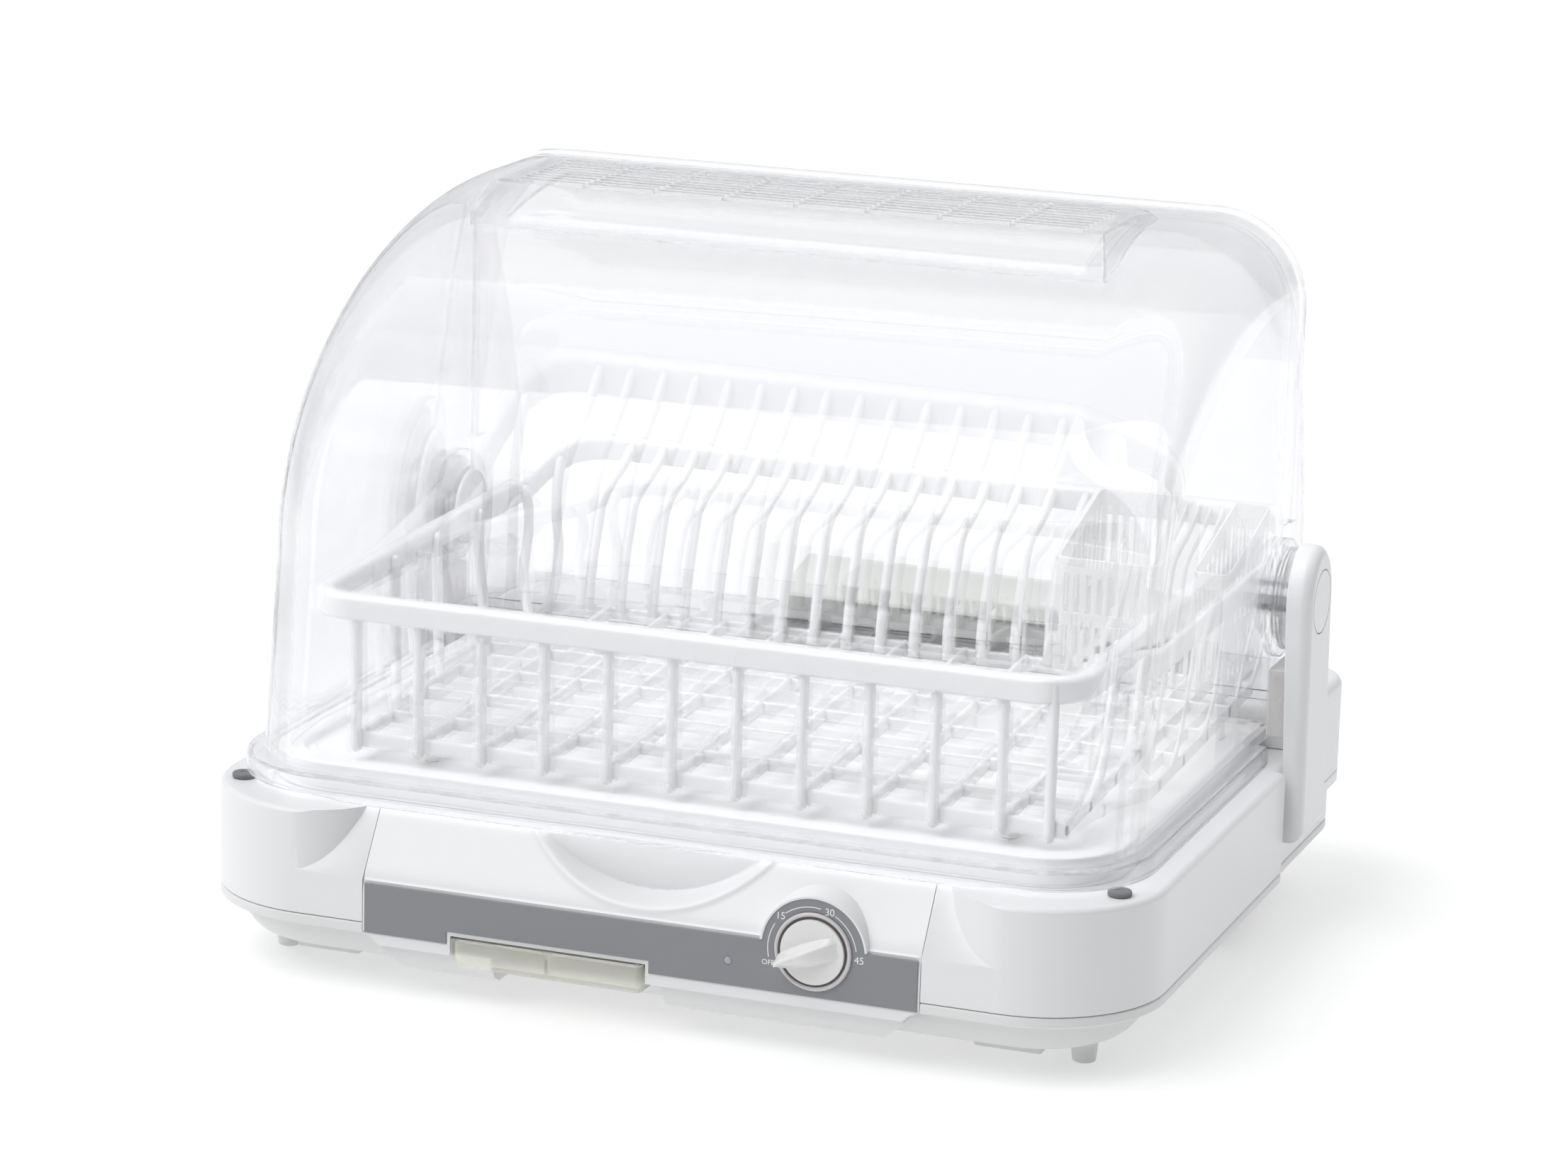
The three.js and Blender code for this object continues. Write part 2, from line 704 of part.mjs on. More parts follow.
function makeTimerBody() {
  const front = baseFront + baseWall + seatGap;
  const block = box(dialX - timerWidth / 2, dialX + timerWidth / 2, front, front + timerDepth,
    dialHeight - timerHeight / 2 + baseWall, dialHeight + timerHeight / 2 - 3 * baseWall);
  const bore = rodAlongY(dialX, dialHeight, shaftRadius + seatGap, front - overrun,
    front + timerDepth - 2 * baseWall, smallSides);
  return cut(block, bore);
}

function makePilotLamp() {
  return rodAlongY(lampX, lampHeight, lampRadius, baseFront - bandThickness, baseFront + lampLength,
    smallSides);
}

function makeDrainDrawer() {
  const left = drawerMiddle - drawerHalfWidth;
  const right = drawerMiddle + drawerHalfWidth;
  const front = baseFront - drawerProud;
  const back = front + drawerLength;
  const tray = box(left, right, front, back, drawerBottom, drawerTop);
  const room = box(left + drawerWall, right - drawerWall, front + 2 * drawerWall, back - drawerWall,
    drawerBottom + drawerWall, drawerTop + overrun);
  const grip = box(left - overrun, right + overrun, front - overrun, front + drawerWall,
    drawerBottom - overrun, drawerBottom + 2 * drawerWall);
  const divider = box(drawerMiddle - drawerWall / 2, drawerMiddle + drawerWall / 2, front + drawerWall,
    front + drawerLength / 4, drawerBottom + drawerWall / 2, drawerTop - 2 * drawerWall);
  return join(cut(tray, room, grip), divider);
}

function makeFoot(side, y) {
  const x = side * footSide;
  return rodAlongZ(x, y, footRadius, 0, panBottomHeight - seatGap, smallSides, footTipRadius);
}

function makeDrainBoard() {
  const front = baseFront + boardFrontInset;
  const back = coverFront - runningGap;
  const plan = (inset, low, high) => alongZ(roundedPlan(boardHalfWidth - inset, front + inset,
    back - inset, boardCornerRadius - inset, boardCornerRadius / 6), low, high);
  const floorLow = boardFloor - boardThickness;
  const skirt = cut(
    plan(0, ledgeHeight + seatGap, boardTop),
    plan(boardThickness, ledgeHeight - overrun, boardTop - boardThickness),
  );
  const pan = plan(boardRimWidth - boardThickness, floorLow, boardTop - boardThickness / 2);
  const recess = plan(boardRimWidth, boardFloor, boardTop + overrun);
  const spoutLow = drawerTop + runningGap;
  const spout = rodAlongZ(drawerMiddle, drainY, drainRadius + boardThickness, spoutLow, boardFloor,
    smallSides);
  const drain = rodAlongZ(drawerMiddle, drainY, drainRadius, spoutLow - overrun, boardTop + overrun,
    smallSides);
  return cut(join(skirt, pan, spout), recess, drain);
}

// The plan of the cover: as wide as the base behind the pillars, narrower between them
function coverPlan(inset, low, high) {
  const wide = roundedPlan(baseHalfWidth - inset, coverStep + inset, baseBack - inset,
    softCorner, coverCornerRadius - inset);
  const narrow = roundedPlan(sideInside - inset, coverFront + inset, baseBack - coverCornerRadius,
    softCorner, softCorner);
  return join(
    alongZ(wide, low, high),
    alongZ(narrow, Math.max(low, ledgeHeight + seatGap), high),
  );
}

function makeRearCover() {
  const shell = cut(
    coverPlan(0, coverBottom - overrun, coverTop),
    coverPlan(coverWall, coverBottom - 2 * overrun, coverTop - coverWall),
    box(-baseHalfWidth - overrun, baseHalfWidth + overrun, baseFront, baseBack + overrun,
      coverBottom - 2 * overrun, coverBottom),
    box(-baseHalfWidth, baseHalfWidth, coverFront + coverWall, baseBack - coverCornerRadius,
      coverBottom - overrun, coverTop - coverWall).intersect(
      box(-sideInside + coverWall, sideInside - coverWall, coverFront, baseBack, ledgeHeight - overrun,
        coverTop),
    ),
  );
  const bodyRoom = alongZ(
    roundedPlan(sideInside, baseFront, rearBodyBack + seatGap, softCorner, rearBodyRadius),
    coverBottom - overrun, ledgeHeight + seatGap,
  );
  const airHole = box(ductLeft + ductWall, ductRight - ductWall, throatFront, throatBack,
    coverTop - overrun, coverTop + overrun);
  const pitch = 2 * filterHalfWidth / intakeSlots;
  const slots = Array.from({ length: intakeSlots }, (unused, index) => {
    const x = -filterHalfWidth + pitch * (index + 1 / 2);
    return box(x - intakeSlotWidth / 2, x + intakeSlotWidth / 2, baseBack - 2 * coverWall,
      baseBack + overrun, intakeBottom, intakeTop);
  });
  const glandHole = rodAlongY(glandX, glandHeight, glandRadius - glandFlange + seatGap,
    baseBack - 2 * coverWall, baseBack + overrun, smallSides);
  return cut(shell, bodyRoom, airHole, ...slots, glandHole);
}

function makeOutletGrille() {
  const low = coverTop + seatGap;
  const back = outletFront + outletDepth;
  const shoulder = outletFront + outletDepth / 4;
  const shoulderHeight = (outletLip + outletTop) / 2;
  const outline = alongX(polygon([
    [outletFront, low], [outletFront, outletLip], [shoulder, shoulderHeight], [back, outletTop], [back, low],
  ]), ductLeft, ductRight);
  const room = alongX(polygon([
    [outletFront - overrun, low - overrun],
    [outletFront - overrun, outletLip - outletWall],
    [outletFront, outletLip - outletWall],
    [shoulder, shoulderHeight - outletWall],
    [back - outletWall, outletTop - outletWall],
    [back - outletWall, low - overrun],
  ]), ductLeft + outletWall, ductRight - outletWall);
  const pitch = (ductRight - ductLeft) / (outletVanes + 1);
  const vanes = Array.from({ length: outletVanes }, (unused, index) => {
    const x = ductLeft + pitch * (index + 1);
    return box(x - outletVaneWidth / 2, x + outletVaneWidth / 2, outletFront + outletWall / 2,
      throatFront - runningGap, low, outletTop).intersect(outline);
  });
  return join(cut(outline, room), ...vanes);
}

function makeAirDuct() {
  const outerRadius = fanRadius + ductGap + ductWall;
  const innerRadius = fanRadius + ductGap;
  const block = join(
    rodAlongX(fanY, fanHeight, outerRadius, ductLeft, ductRight),
    box(ductLeft, ductRight, throatFront - ductWall, throatBack + ductWall, fanHeight, ductTop),
    ...[ductLeft, ductRight - ductLegWidth].map((left) => box(left, left + ductLegWidth,
      standY - standHalfDepth, standY + standHalfDepth, panFloor + seatGap, fanHeight)),
  );
  const left = ductLeft + ductWall;
  const right = ductRight - ductWall;
  const shaftHole = rodAlongX(fanY, fanHeight, fanShaftRadius + seatGap, ductLeft - overrun,
    ductRight + overrun, smallSides);
  return cut(
    block,
    rodAlongX(fanY, fanHeight, innerRadius, left, right),
    box(left, right, throatFront, throatBack, fanHeight, ductTop + overrun),
    box(left, right, fanY + throatHalfDepth / 2, fanY + outerRadius + overrun,
      fanHeight - innerRadius, fanHeight - ductGap),
    shaftHole,
  );
}

function makeFanWheel() {
  const left = ductLeft + ductWall + fanEndGap;
  const right = ductRight - ductWall - fanEndGap;
  const middle = (left + right) / 2;
  const discs = [left, middle, right - fanDiscThickness].map((x) => (
    rodAlongX(fanY, fanHeight, fanRadius, x, x + fanDiscThickness)
  ));
  const blades = Array.from({ length: fanBlades }, (unused, index) => {
    const angle = 2 * Math.PI * index / fanBlades;
    const blade = new THREE.BoxGeometry(right - left, fanBladeDepth, fanBladeThickness);
    blade.translate(middle, fanRadius - fanBladeDepth / 2 - fanBladeThickness / 2, 0);
    return solid(blade.rotateX(angle).translate(0, fanY, fanHeight));
  });
  const shaft = rodAlongX(fanY, fanHeight, fanShaftRadius, ductLeft - fanEndGap,
    ductRight + seatGap + motorLength / 2, smallSides);
  return join(shaft, ...discs, ...blades);
}

function makeFanMotor() {
  const left = ductRight + seatGap;
  const right = left + motorLength;
  const half = motorHalfHeight;
  const core = box(left, right, fanY - half, fanY + half, fanHeight - half, fanHeight + half / 2);
  const bell = rodAlongX(fanY, fanHeight, half / 2, left + motorLength / 2, right + motorLength / 4,
    smallSides);
  const stand = box(left + motorBaseThickness, right - motorBaseThickness, standY - standHalfDepth,
    standY + standHalfDepth, panFloor + seatGap, fanHeight);
  const bore = rodAlongX(fanY, fanHeight, fanShaftRadius + seatGap, left - overrun,
    left + motorLength / 2 + 2 * seatGap, smallSides);
  return cut(join(core, bell, stand), bore);
}

function makeHeater() {
  const high = ductTop - heaterDrop;
  const low = high - heaterHeight;
  const left = ductLeft + ductWall + seatGap;
  const right = ductRight - ductWall - seatGap;
  const front = throatFront + seatGap;
  const back = throatBack - seatGap;
  const frame = cut(
    box(left, right, front, back, low, high),
    box(left + ductWall, right - ductWall, front + ductWall, back - ductWall, low - overrun, high + overrun),
  );
  const pitch = (back - front) / (heaterBars + 1);
  const bars = Array.from({ length: heaterBars }, (unused, index) => {
    const y = front + pitch * (index + 1);
    return box(left + ductWall / 2, right - ductWall / 2, y - heaterBarWidth / 2, y + heaterBarWidth / 2,
      low + heaterHeight / 4, high - heaterHeight / 4);
  });
  return join(frame, ...bars);
}

function makeThermostat() {
  const back = throatFront - ductWall - seatGap;
  const middle = (ductLeft + ductRight) / 2;
  return rodAlongY(middle, ductTop - thermostatRadius, thermostatRadius,
    back - thermostatDepth, back, smallSides);
}

function makeIntakeFilter() {
  const back = baseBack - coverWall - seatGap;
  return box(-filterHalfWidth, filterHalfWidth, back - filterThickness, back, intakeBottom, intakeTop);
}

function makeTerminalBlock() {
  const low = panFloor + seatGap;
  const back = standY;
  const front = back - terminalDepth;
  const left = terminalX - terminalLength / 2;
  const right = terminalX + terminalLength / 2;
  const block = box(left, right, front, back, low, low + terminalHeight);
  const slot = box(left - overrun, right + overrun, front + terminalDepth / 3, back - terminalDepth / 3,
    low + terminalHeight / 2, low + terminalHeight + overrun);
  return cut(block, slot);
}

function makeCordGland() {
  const flange = rodAlongY(glandX, glandHeight, glandRadius, baseBack - coverWall - seatGap - glandFlange,
    baseBack - coverWall - seatGap, smallSides);
  const neck = rodAlongY(glandX, glandHeight, glandRadius - glandFlange, baseBack - coverWall - glandNeck,
    baseBack, smallSides);
  const bore = rodAlongY(glandX, glandHeight, glandBore, baseFront, baseBack + overrun, smallSides);
  return cut(join(flange, neck), bore);
}

// The pillar's side view: a rounded top, and edges that lean back towards the foot
function pillarShape(inset) {
  const low = pillarBottom + inset;
  const half = pillarHalfDepth - inset;
  const shape = new THREE.Shape();
  shape.moveTo(pivotY - half + pillarLean, low);
  shape.lineTo(pivotY + half + pillarLean + pillarSpread, low);
  shape.lineTo(pivotY + half, pivotHeight);
  shape.absellipse(pivotY, pivotHeight, half, pillarTopRise - inset, 0, Math.PI, false, 0);
  return shape;
}

function makePillar(side) {
  const block = alongX(pillarShape(0), pillarInside - pillarEdgeRadius * 2, pillarOutside, pillarEdgeRadius);
  const outer = cut(block, box(0, pillarInside, 0, baseBack, 0, hoodTopHeight));
  const room = alongX(pillarShape(baseWall), pillarInside - overrun, pillarOutside - 2 * baseWall);
  const boss = rodAlongX(pivotY, pivotHeight, pinRadius + 2 * baseWall, pillarInside,
    pillarOutside - baseWall, smallSides);
  const bore = rodAlongX(pivotY, pivotHeight, pinRadius + seatGap, pillarInside - overrun,
    pillarOutside - 2 * capDepth, smallSides);
  const capSeat = rodAlongX(pivotY, pivotHeight, capRadius + seatGap, pillarOutside - capDepth,
    pillarOutside + overrun);
  return sided(cut(join(cut(outer, room), boss), bore, capSeat), side);
}

// The same piece for the right side (1) or mirrored for the left (-1)
function sided(whole, side) {
  return side > 0 ? whole : whole.mirror([1, 0, 0]);
}

function makePivotCap(side) {
  return sided(rodAlongX(pivotY, pivotHeight, capRadius, pillarOutside - capDepth + seatGap,
    pillarOutside), side);
}

function makePivotPin(side) {
  return sided(rodAlongX(pivotY, pivotHeight, pinRadius, rearHoodHalfWidth - rearHoodWall + seatGap,
    pillarOutside - 2 * capDepth - seatGap, smallSides), side);
}

function makeHubCap(side) {
  const outside = rearHoodHalfWidth - rearHoodWall - seatGap;
  const cap = rodAlongX(pivotY, pivotHeight, hubCapRadius, outside - hubCapThickness, outside);
  const slot = box(0, outside - hubCapThickness / 2, pivotY - hubCapRadius / 2, pivotY + hubCapRadius / 2,
    pivotHeight - hubCapThickness / 2, pivotHeight + hubCapThickness / 2);
  return sided(cut(cap, slot), side);
}

function makeWasher(side) {
  const inside = hoodHalfWidth + hubThickness + seatGap;
  const ring = cut(
    rodAlongX(pivotY, pivotHeight, washerRadius, inside, inside + washerThickness),
    rodAlongX(pivotY, pivotHeight, pinRadius + seatGap, inside - overrun, inside + overrun, smallSides),
  );
  return sided(ring, side);
}

function makeHingeBracket(side) {
  const outside = pillarInside - seatGap;
  const inside = hoodHalfWidth + 2 * runningGap;
  const block = box(inside, outside, pivotY - bracketDepth / 2, pivotY + bracketDepth / 2,
    boardTop, bracketTop);
  const room = box(inside + baseWall, outside + overrun, pivotY - bracketDepth / 2 + baseWall,
    pivotY + bracketDepth / 2 - baseWall, boardTop + baseWall, bracketTop - baseWall);
  return sided(cut(block, room), side);
}

function makeBumper(side) {
  return sided(rodAlongZ(bumperX, bumperY, bumperRadius, ledgeHeight + seatGap,
    rimBottom - seatGap, smallSides), side);
}

// The hood's side view, from well below its foot to well behind its rear edge
function hoodProfile(inset) {
  const run = (hoodShoulderInset - hoodFootInset) / (hoodShoulderHeight - hoodFootHeight);
  const low = hoodFootHeight - 3 * hoodEdgeRadius;
  const footY = hoodFootY - run * (hoodFootHeight - low) + inset;
  const back = hoodRearEdge + 3 * hoodEdgeRadius;
  const shape = new THREE.Shape();
  shape.moveTo(footY, low);
  shape.lineTo(back, low);
  shape.lineTo(back, hoodTopHeight - inset);
  shape.lineTo(hoodArcY, hoodTopHeight - inset);
  shape.absellipse(hoodArcY, hoodShoulderHeight, hoodArcLength - inset, hoodArcRise - inset,
    Math.PI / 2, Math.PI, false, 0);
  return shape;
}

function hoodBody(inset) {
  const half = hoodHalfWidth - inset;
  return alongX(hoodProfile(inset), -half, half, hoodEdgeRadius - inset, 2 * arcSegments, hoodEdgeSegments);
}

function makeFrontHood() {
  const trimBack = box(-rimHalfWidth - overrun, rimHalfWidth + overrun, hoodRearEdge,
    baseBack + 3 * hoodEdgeRadius + overrun, -3 * hoodEdgeRadius, hoodTopHeight + overrun);
  const trimLow = box(-rimHalfWidth - overrun, rimHalfWidth + overrun, baseFront - overrun,
    baseBack + 3 * hoodEdgeRadius + overrun, -3 * hoodEdgeRadius, rimBottom);
  const trimHub = box(-rimHalfWidth - overrun, rimHalfWidth + overrun, pivotY + hoodHubReach,
    baseBack + overrun, rimBottom - overrun, pivotHeight + hoodHubRise);
  const rimPlan = (inset, low, high) => alongZ(roundedPlan(rimHalfWidth - inset,
    baseFront + rimFrontInset + inset, rimBack, rimCornerRadius - inset, softCorner), low, high);
  const rim = cut(
    rimPlan(0, rimBottom, rimTop),
    rimPlan(rimWall, rimBottom - overrun, rimTop - rimWall)
      .subtract(hoodBody(0)),
  );
  const hubs = [1, -1].map((side) => sided(
    rodAlongX(pivotY, pivotHeight, hubRadius, hoodHalfWidth - hoodWall / 2, hoodHalfWidth + hubThickness),
    side,
  ));
  const bore = rodAlongX(pivotY, pivotHeight, pinRadius + runningGap, -rimHalfWidth - overrun,
    rimHalfWidth + overrun, roundSides);
  const ventHole = box(-ventHalfWidth, ventHalfWidth, ventFront, ventBack, hoodTopHeight - overrun,
    hoodTopHeight + overrun);
  const shell = cut(join(hoodBody(0), rim), hoodBody(hoodWall), trimBack, trimLow, trimHub);
  return cut(join(shell, ...hubs), bore, ventHole);
}

function makeVentGrille() {
  const brink = hoodTopHeight + seatGap;
  const low = brink - ventFrontDrop;
  const section = (inset) => polygon([
    [ventFront - ventFlare + inset, low - overrun],
    [ventBack + ventFlare - inset, low - overrun],
    [ventBack + ventFlare - inset, brink],
    [ventBack - inset, ventTop - inset],
    [ventFront + inset, ventTop - inset],
    [ventFront - ventFlare + inset, low],
  ]);
  const half = ventHalfWidth + ventSideFlare;
  const ends = (inset) => alongY(polygon([
    [-half + inset, low - 2 * overrun],
    [half - inset, low - 2 * overrun],
    [half - inset, low],
    [ventHalfWidth - inset, ventTop + overrun],
    [-ventHalfWidth + inset, ventTop + overrun],
    [-half + inset, low],
  ]), baseFront, baseBack);
  const block = alongX(section(0), -half - overrun, half + overrun).intersect(ends(0));
  const room = alongX(section(ventWall), -half - overrun, half + overrun).intersect(ends(ventWall));
  const above = cut(block, room, hoodBody(-seatGap));
  const depth = ventBack - ventFront - 2 * ventWall;
  const pitch = depth / ventSlots;
  const bay = 2 * (ventHalfWidth - ventWall) / ventBays;
  const slots = Array.from({ length: ventSlots }, (unused, row) => {
    const y = ventFront + ventWall + pitch * (row + 1 / 2);
    return Array.from({ length: ventBays }, (missing, column) => {
      const left = -ventHalfWidth + ventWall + bay * column + ventBarWidth / 2;
      return box(left, left + bay - ventBarWidth, y - ventSlotWidth / 2, y + ventSlotWidth / 2,
        ventTop - 2 * ventWall, ventTop + overrun);
    });
  }).flat();
  return cut(above, ...slots);
}

// The rear hood's side view: a soft quarter round from its top edge down to its foot
function rearHoodProfile(inset) {
  const reach = rearHoodReach - inset;
  const rise = rearHoodRise - inset;
  const front = rearHoodFront - 3 * rearHoodEdgeRadius;
  const low = coverTop - 3 * rearHoodEdgeRadius;
  const steps = 2 * arcSegments;
  const shape = new THREE.Shape();
  shape.moveTo(front, low);
  shape.lineTo(rearHoodFront + reach, low);
  for (let step = 0; step <= steps; step += 1) {
    const angle = Math.PI / 2 * step / steps;
    const y = reach * Math.cos(angle) ** (2 / rearHoodPower);
    const z = rise * Math.sin(angle) ** (2 / rearHoodPower);
    shape.lineTo(rearHoodFront + y, rearHoodShoulder + z);
  }
  shape.lineTo(front, rearHoodShoulder + rise);
  return shape;
}

function rearHoodBody(inset) {
  const half = rearHoodHalfWidth - inset;
  return alongX(
    rearHoodProfile(inset), -half, half, rearHoodEdgeRadius - inset, arcSegments, hoodEdgeSegments,
  );
}

function makeRearHood() {
  const span = rearHoodHalfWidth + overrun;
  const trimFront = box(-span, span, rearHoodFront - 6 * rearHoodEdgeRadius, rearHoodFront,
    coverTop - 6 * rearHoodEdgeRadius, hoodTopHeight);
  const trimLow = box(-span, span, rearHoodFront - 6 * rearHoodEdgeRadius, baseBack + overrun,
    coverTop - 6 * rearHoodEdgeRadius, coverTop + seatGap);
  const ears = [1, -1].map((side) => sided(
    rodAlongX(pivotY, pivotHeight, rearEarRadius, rearHoodHalfWidth - rearHoodWall, rearHoodHalfWidth),
    side,
  ));
  const bore = rodAlongX(pivotY, pivotHeight, pinRadius + seatGap, -span, span, smallSides);
  const shell = cut(rearHoodBody(0), rearHoodBody(rearHoodWall), trimFront, trimLow);
  return cut(join(shell, ...ears), bore);
}

// The height of the dish basket's rim at a place from front to back
function basketRimTop(y) {
  if (y < basketRiseStart) {
    const share = (y - basketFront) / (basketRiseStart - basketFront);
    return basketRimFront + (basketRimMiddle - basketRimFront) * share;
  }
  const share = Math.min((y - basketRiseStart) / (basketRiseEnd - basketRiseStart), 1);
  const smooth = share * share * (3 - 2 * share);
  return basketRimMiddle + (basketRimBack - basketRimMiddle) * smooth;
}

function floorHeight(y) {
  const share = (y - basketFront) / (floorBack - basketFront);
  return floorFrontHeight + (floorBackHeight - floorFrontHeight) * share;
}

// The rim is a closed ring of four-cornered sections that follows the outline
function makeBasketRim() {
  const outline = (inset) => roundedPlan(basketHalfWidth - inset, basketFront + inset, basketBack - inset,
    basketFrontRadius - inset, basketBackRadius - inset);
  const cornerStart = basketBack - basketBackRadius;
  const sideStations = Array.from({ length: rimStations }, (unused, index) => (
    basketRiseStart + (cornerStart - basketRiseStart) * (index + 1) / (rimStations + 1)
  ));
  const ring = (inset) => {
    const points = outline(inset).getPoints(arcSegments).slice(0, -1);
    const right = points.findIndex((point) => (
      point.x > 0 && Math.abs(point.y - cornerStart) < weldDistance
    ));
    const before = sideStations.map((y) => new THREE.Vector2(basketHalfWidth - inset, y));
    const after = sideStations.map((y) => new THREE.Vector2(-basketHalfWidth + inset, y)).reverse();
    const left = points.findIndex((point, index) => (
      index > right + arcSegments && Math.abs(point.x + basketHalfWidth - inset) < weldDistance
    ));
    return [...points.slice(0, right), ...before, ...points.slice(right, left + 1), ...after,
      ...points.slice(left + 1)];
  };
  const outer = ring(0);
  const inner = ring(basketRimThickness);
  const positions = [];
  const place = (point, height) => [point.x, point.y, basketRimTop(point.y) - height];
  const quad = (a, b, c, d) => positions.push(...a, ...b, ...c, ...a, ...c, ...d);
  outer.forEach((point, index) => {
    const next = (index + 1) % outer.length;
    const corners = [point, outer[next], inner[next], inner[index]];
    const [top0, top1, top2, top3] = corners.map((corner) => place(corner, 0));
    const [low0, low1, low2, low3] = corners.map((corner) => place(corner, basketRimHeight));
    quad(top0, top1, top2, top3);
    quad(low3, low2, low1, low0);
    quad(low0, low1, top1, top0);
    quad(low2, low3, top3, top2);
  });
  const geometry = new THREE.BufferGeometry();
  geometry.setAttribute('position', new THREE.Float32BufferAttribute(positions, 3));
  return solid(geometry);
}

function makeDishBasket() {
  const rodY = basketFront + basketRimThickness / 2;
  const sideX = basketHalfWidth - basketRimThickness / 2;
  const floorLeft = frontRodStart;
  const insideRim = (y) => basketRimTop(y) - basketRimHeight / 2;
  const frontXs = Array.from({ length: frontRods }, (unused, index) => frontRodStart + frontRodPitch * index);
  const uprights = [...frontXs, lastFrontRod].map((x) => (
    strut([x, rodY, floorHeight(rodY) - barRadius], [x, rodY, insideRim(rodY)], rodRadius)
  ));
  const lengthwise = [...frontXs, floorRight].map((x) => (
    strut([x, rodY, floorHeight(rodY)], [x, floorBack, floorHeight(floorBack)], barRadius)
  ));
  const crosswise = Array.from({ length: floorCrossBars }, (unused, index) => {
    const y = rodY + (floorBack - rodY) * index / (floorCrossBars - 1);
    const z = floorHeight(y) - crossBarDrop;
    return strut([floorLeft, y, z], [floorRight, y, z], crossBarRadius);
  });
  const rearXs = Array.from({ length: rearRods }, (unused, index) => rearRodStart + rearRodPitch * index);
  const rearY = basketBack - basketRimThickness / 2;
  const curved = rearXs.map((x) => join(
    strut([x, floorBack, floorHeight(floorBack)], [x, rearRodShoulderY, rearRodShoulderHeight], rodRadius),
    strut([x, rearRodShoulderY, rearRodShoulderHeight], [x, rearY, insideRim(rearY)], rodRadius),
  ));
  const sideYs = Array.from({ length: sideRods }, (unused, index) => sideRodStart + sideRodPitch * index);
  const sides = sideYs.flatMap((y) => [
    strut([floorLeft, y, floorHeight(y)], [-sideX, y, insideRim(y)], rodRadius),
    strut([floorRight, y, floorHeight(y)], [sideX, y, insideRim(y)], rodRadius),
  ]);
  const cornerHeight = insideRim(basketRiseStart);
  const corners = [[floorLeft, -sideX], [floorRight, sideX]].map(([floorX, rimX]) => (
    strut([floorX, floorBack, floorHeight(floorBack)], [rimX, basketRiseStart, cornerHeight], rodRadius)
  ));
  const feetPlaces = [rodY + frontRodPitch / 2, floorBack - frontRodPitch / 2].flatMap((y) => (
    [[frontXs[1], y], [frontXs[frontRods - 1], y]]
  ));
  const feet = feetPlaces.map(([x, y]) => (
    rodAlongZ(x, y, basketFootRadius, boardFloor + seatGap, floorHeight(y), arcSegments)
  ));
  return join(makeBasketRim(), ...uprights, ...lengthwise, ...crosswise, ...curved, ...sides, ...corners,
    ...feet);
}

function makeCutleryBasket() {
  const left = cutleryMiddle - cutleryHalfWidth;
  const right = cutleryMiddle + cutleryHalfWidth;
  const side = (grow, low) => polygon([
    [cutleryFront - grow, low],
    [cutleryFront - grow, cutleryRimFront],
    [cutleryBack + grow, cutleryRimBack],
    [cutleryBack + grow, low],
  ]);
  const rimSide = polygon([
    [cutleryFront - cutleryRimWidth, cutleryRimFront - cutleryRimHeight],
    [cutleryFront - cutleryRimWidth, cutleryRimFront],
    [cutleryBack, cutleryRimBack],
    [cutleryBack, cutleryRimBack - cutleryRimHeight],
  ]);
  const body = join(
    alongX(side(0, cutleryBottom), left, right),
    alongX(rimSide, left - cutleryRimWidth, right + cutleryRimWidth),
  );
  const room = box(left + cutleryWall, right - cutleryWall, cutleryFront + cutleryWall,
    cutleryBack - cutleryWall, cutleryBottom + cutleryWall, cutleryRimBack + overrun);
  const rows = [0, 1].map((row) => {
    const height = (cutleryRimFront - cutleryRimHeight - cutleryBottom - cutleryMargin - cutleryBand) / 2;
    const low = cutleryBottom + cutleryMargin / 2 + row * (height + cutleryBand);
    return [low, low + height];
  });
  const openings = rows.flatMap(([low, high]) => {
    const across = (right - left - 2 * cutleryWall) / cutlerySlots;
    const deep = (cutleryBack - cutleryFront - 2 * cutleryMargin) / cutlerySlots;
    return Array.from({ length: cutlerySlots }, (unused, index) => {
      const x = left + cutleryWall + across * (index + 1 / 2);
      const y = cutleryFront + cutleryMargin + deep * (index + 1 / 2);
      return [
        box(x - cutlerySlotWidth / 2, x + cutlerySlotWidth / 2, cutleryFront - overrun,
          cutleryBack + overrun, low, high),
        box(left - overrun, right + overrun, y - cutlerySlotWidth, y + cutlerySlotWidth, low, high),
      ];
    }).flat();
  });
  return cut(body, room, ...openings);
}

// The whole dryer, moved so that its box is centred over the origin
const dryer = new THREE.Group();
dryer.name = 'dish_dryer';
dryer.position.y = overallShift;

function addPiece(name, whole, material) {
  const mesh = new THREE.Mesh(surface(whole), material);
  mesh.name = name;
  dryer.add(mesh);
}

addPiece('lower_pan', makeLowerPan(), white);
addPiece('upper_housing', makeUpperHousing(), white);
addPiece('front_panel', makeFrontPanel(), white);
addPiece('control_band', makeControlBand(), grey);
addPiece('timer_knob', makeTimerKnob(), white);
addPiece('timer_shaft', makeTimerShaft(), steel);
addPiece('timer_body', makeTimerBody(), black);
addPiece('pilot_lamp', makePilotLamp(), milky);
addPiece('drain_drawer', makeDrainDrawer(), clearYellow);
addPiece('drain_board', makeDrainBoard(), innerWhite);
addPiece('rear_cover', makeRearCover(), white);
addPiece('outlet_grille', makeOutletGrille(), outletGreen);
addPiece('air_duct', makeAirDuct(), innerWhite);
addPiece('fan_wheel', makeFanWheel(), black);
addPiece('fan_motor', makeFanMotor(), steel);
addPiece('heater', makeHeater(), steel);
addPiece('thermostat', makeThermostat(), black);
addPiece('intake_filter', makeIntakeFilter(), grey);
addPiece('terminal_block', makeTerminalBlock(), innerWhite);
addPiece('cord_gland', makeCordGland(), black);
addPiece('front_hood', makeFrontHood(), clear);
